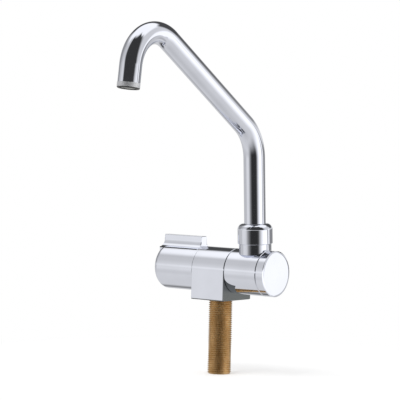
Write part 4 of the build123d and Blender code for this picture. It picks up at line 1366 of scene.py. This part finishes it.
class TAP_OT_stage(bpy.types.Operator):
    """Pale floor, soft studio light and the camera"""

    bl_idname = "tap.stage"
    bl_label = "Stage"

    floor_segments = 96
    floor_roughness = 0.9
    rim_middle = 0.8
    rim_blur = 0.19
    lamp_size = 1.2
    lamp_reach = 1.1
    lamp_height = 1.6
    lamp_turn = math.radians(-50)
    lamp_aim = Vector((0, 0, 0.08))
    nearest_seen = 0.01

    def execute(self, context):
        settings = context.scene.tap_stage
        self.add_floor(settings)
        self.light_world(context.scene, settings)
        self.add_lamp(settings)
        self.add_camera(context.scene, settings)
        context.scene.view_settings.view_transform = "Standard"
        return {"FINISHED"}

    def add_floor(self, settings):
        """A pale floor under the shank that is white to the camera and keeps a soft shadow."""
        clear_selection()
        bpy.ops.mesh.primitive_circle_add(
            vertices=self.floor_segments,
            radius=settings.floor_radius,
            fill_type="NGON",
            location=(0, 0, shank_low.z),
        )
        floor = bpy.context.object
        floor.name = "floor"
        bpy.ops.object.transform_apply(location=True, rotation=True, scale=True)
        base = tuple(settings.floor)
        material, tree, shader = new_material(
            "pale_floor", base, metallic=0.0, roughness=self.floor_roughness
        )
        grain = spread(tree, noise(tree, scale=60, detail=4), NOISE_LOW, NOISE_HIGH)
        vary_colour(tree, shader, grain, base, darker(base, 0.99))
        self.whiten_floor(tree, shader, settings)
        floor.data.materials.append(material)
        floor.visible_glossy = False

    def whiten_floor(self, tree, shader, settings):
        """Lift the floor to white for the camera, and fade it to plain white at its rim."""
        from_camera = tree.nodes.new("ShaderNodeLightPath").outputs["Is Camera Ray"]
        lifted = tree.nodes.new("ShaderNodeAddShader")
        lift = tree.nodes.new("ShaderNodeEmission")
        strength = calculate(tree, "MULTIPLY", from_camera, settings.floor_lift)
        tree.links.new(strength, lift.inputs["Strength"])
        tree.links.new(shader.outputs["BSDF"], lifted.inputs[0])
        tree.links.new(lift.outputs["Emission"], lifted.inputs[1])
        flat = tree.nodes.new("ShaderNodeVectorMath")
        flat.operation = "MULTIPLY"
        flat.inputs[1].default_value = (1, 1, 0)
        reach = tree.nodes.new("ShaderNodeVectorMath")
        reach.operation = "LENGTH"
        tree.links.new(object_place(tree), flat.inputs[0])
        tree.links.new(flat.outputs["Vector"], reach.inputs[0])
        radius = settings.floor_radius
        rim = soft_step(
            tree, reach.outputs["Value"], self.rim_middle * radius, self.rim_blur * radius
        )
        white = tree.nodes.new("ShaderNodeEmission")
        mix = tree.nodes.new("ShaderNodeMixShader")
        tree.links.new(calculate(tree, "MULTIPLY", rim, from_camera), mix.inputs["Fac"])
        tree.links.new(lifted.outputs["Shader"], mix.inputs[1])
        tree.links.new(white.outputs["Emission"], mix.inputs[2])
        tree.links.new(mix.outputs["Shader"], tree.nodes["Material Output"].inputs["Surface"])

    def light_world(self, scene, settings):
        """White for the camera, a studio for polished metal and a plain level for the rest."""
        world = bpy.data.worlds.new("studio")
        world.use_nodes = True
        scene.world = world
        tree = world.node_tree
        path = tree.nodes.new("ShaderNodeLightPath").outputs
        from_camera = path["Is Camera Ray"]
        seen = calculate(tree, "MAXIMUM", from_camera, path["Is Glossy Ray"])
        seen = calculate(tree, "MAXIMUM", seen, path["Is Transmission Ray"])
        level = self.studio_level(tree, settings)
        level = mix_values(tree, from_camera, level, 1.0)
        level = mix_values(tree, seen, settings.room_level, level)
        background = tree.nodes["Background"]
        tree.links.new(level, background.inputs["Strength"])
        background.inputs["Color"].default_value = (1, 1, 1, 1)

    def studio_level(self, tree, settings):
        """Brightness of the studio in each direction: walls and floor, then its panels in turn."""
        coordinates = tree.nodes.new("ShaderNodeTexCoord")
        parts = tree.nodes.new("ShaderNodeSeparateXYZ")
        tree.links.new(coordinates.outputs["Generated"], parts.inputs["Vector"])
        elevation = calculate(tree, "ARCSINE", parts.outputs["Z"])
        ramp = tree.nodes.new("ShaderNodeValToRGB")
        stops = ramp.color_ramp.elements
        for index, (degrees, level) in enumerate(STUDIO_WALLS):
            place = (degrees + 90) / 180
            stop = stops[index] if index < 2 else stops.new(place)
            stop.position = place
            stop.color = (level, level, level, 1)
        height = calculate(tree, "MULTIPLY_ADD", elevation, 1 / math.pi, 0.5)
        tree.links.new(height, ramp.inputs["Fac"])
        level = ramp.outputs["Color"]
        for middle, half_width, blur, low, low_blur, high, high_blur, shade in STUDIO_PANELS:
            turned = tree.nodes.new("ShaderNodeVectorRotate")
            turned.rotation_type = "Z_AXIS"
            turned.inputs["Angle"].default_value = -settings.azimuth - math.radians(middle)
            tree.links.new(coordinates.outputs["Generated"], turned.inputs["Vector"])
            sides = tree.nodes.new("ShaderNodeSeparateXYZ")
            tree.links.new(turned.outputs["Vector"], sides.inputs["Vector"])
            forward = calculate(tree, "MULTIPLY", sides.outputs["Y"], -1.0)
            bearing = calculate(tree, "ARCTAN2", sides.outputs["X"], forward)
            aside = calculate(tree, "ABSOLUTE", bearing)
            beside = soft_step(tree, aside, math.radians(half_width), math.radians(blur))
            above_low = soft_step(tree, elevation, math.radians(low), math.radians(low_blur))
            above_high = soft_step(tree, elevation, math.radians(high), math.radians(high_blur))
            mask = calculate(tree, "MULTIPLY", calculate(tree, "SUBTRACT", 1.0, beside), above_low)
            mask = calculate(tree, "MULTIPLY", mask, calculate(tree, "SUBTRACT", 1.0, above_high))
            level = mix_values(tree, mask, level, shade)
        return level

    def add_lamp(self, settings):
        """A large soft lamp, high on the left. Polished metal doesn't mirror it."""
        lamp_data = bpy.data.lights.new("soft_lamp", "AREA")
        lamp = bpy.data.objects.new("soft_lamp", lamp_data)
        bpy.context.scene.collection.objects.link(lamp)
        lamp_data.shape = "DISK"
        lamp_data.size = self.lamp_size
        lamp_data.energy = settings.lamp_power
        lamp.visible_glossy = False
        angle = settings.azimuth + self.lamp_turn
        reach = self.lamp_reach
        place = Vector((reach * math.sin(angle), -reach * math.cos(angle), self.lamp_height))
        lamp.location = place
        lamp.rotation_euler = (place - self.lamp_aim).to_track_quat("Z", "Y").to_euler()

    def add_camera(self, scene, settings):
        """The camera, at the photograph's angle."""
        azimuth = settings.azimuth
        elevation = settings.elevation
        back = Vector(
            (
                math.sin(azimuth) * math.cos(elevation),
                -math.cos(azimuth) * math.cos(elevation),
                math.sin(elevation),
            )
        )
        level_right = Vector((math.cos(azimuth), math.sin(azimuth), 0))
        tilt = Matrix.Rotation(settings.roll, 3, back)
        right = tilt @ level_right
        up = tilt @ back.cross(level_right)
        camera_data = bpy.data.cameras.new("camera")
        camera = bpy.data.objects.new("camera", camera_data)
        scene.collection.objects.link(camera)
        camera_data.lens = settings.lens
        camera_data.clip_start = self.nearest_seen
        location = back * settings.distance - right * settings.shift_right - up * settings.shift_up
        turned = Matrix((right, up, back)).transposed().to_4x4()
        camera.matrix_world = Matrix.Translation(location) @ turned
        scene.camera = camera


class TAP_PT_panel(bpy.types.Panel):
    """Buttons for each piece of the tap"""

    bl_label = "Folding tap"
    bl_idname = "TAP_PT_panel"
    bl_space_type = "VIEW_3D"
    bl_region_type = "UI"
    bl_category = "Tap"

    def draw(self, context):
        for operator in OPERATORS:
            self.layout.operator(operator.bl_idname)
        for name in SETTINGS:
            group = getattr(context.scene, name)
            box = self.layout.box()
            box.label(text=group.bl_rna.description)
            for field in group.__annotations__:
                box.prop(group, field)


SETTINGS = {
    "tap_body": TapBodySizes,
    "tap_lever": TapLeverSizes,
    "tap_spout": TapSpoutSizes,
    "tap_shank": TapShankSizes,
    "tap_finishes": TapFinishes,
    "tap_stage": TapStage,
}
OPERATORS = (
    TAP_OT_block,
    TAP_OT_handle,
    TAP_OT_drum,
    TAP_OT_end_cap,
    TAP_OT_neck,
    TAP_OT_nut,
    TAP_OT_tube,
    TAP_OT_nozzle,
    TAP_OT_shank,
    TAP_OT_inner_parts,
    TAP_OT_stage,
)


def register():
    """Register the settings, operators and panel."""
    for settings in SETTINGS.values():
        bpy.utils.register_class(settings)
    for operator in OPERATORS:
        bpy.utils.register_class(operator)
    bpy.utils.register_class(TAP_PT_panel)
    for name, settings in SETTINGS.items():
        setattr(bpy.types.Scene, name, PointerProperty(type=settings))


def unregister():
    """Take the settings, operators and panel away again."""
    for name in SETTINGS:
        delattr(bpy.types.Scene, name)
    bpy.utils.unregister_class(TAP_PT_panel)
    for operator in reversed(OPERATORS):
        bpy.utils.unregister_class(operator)
    for settings in reversed(list(SETTINGS.values())):
        bpy.utils.unregister_class(settings)


def main():
    """Build the tap."""
    register()
    bpy.ops.tap.block()
    bpy.ops.tap.handle()
    bpy.ops.tap.drum()
    bpy.ops.tap.end_cap()
    bpy.ops.tap.neck()
    bpy.ops.tap.nut()
    bpy.ops.tap.tube()
    bpy.ops.tap.nozzle()
    bpy.ops.tap.shank()
    bpy.ops.tap.inner_parts()
    bpy.ops.tap.stage()


if __name__ == "__main__":
    main()
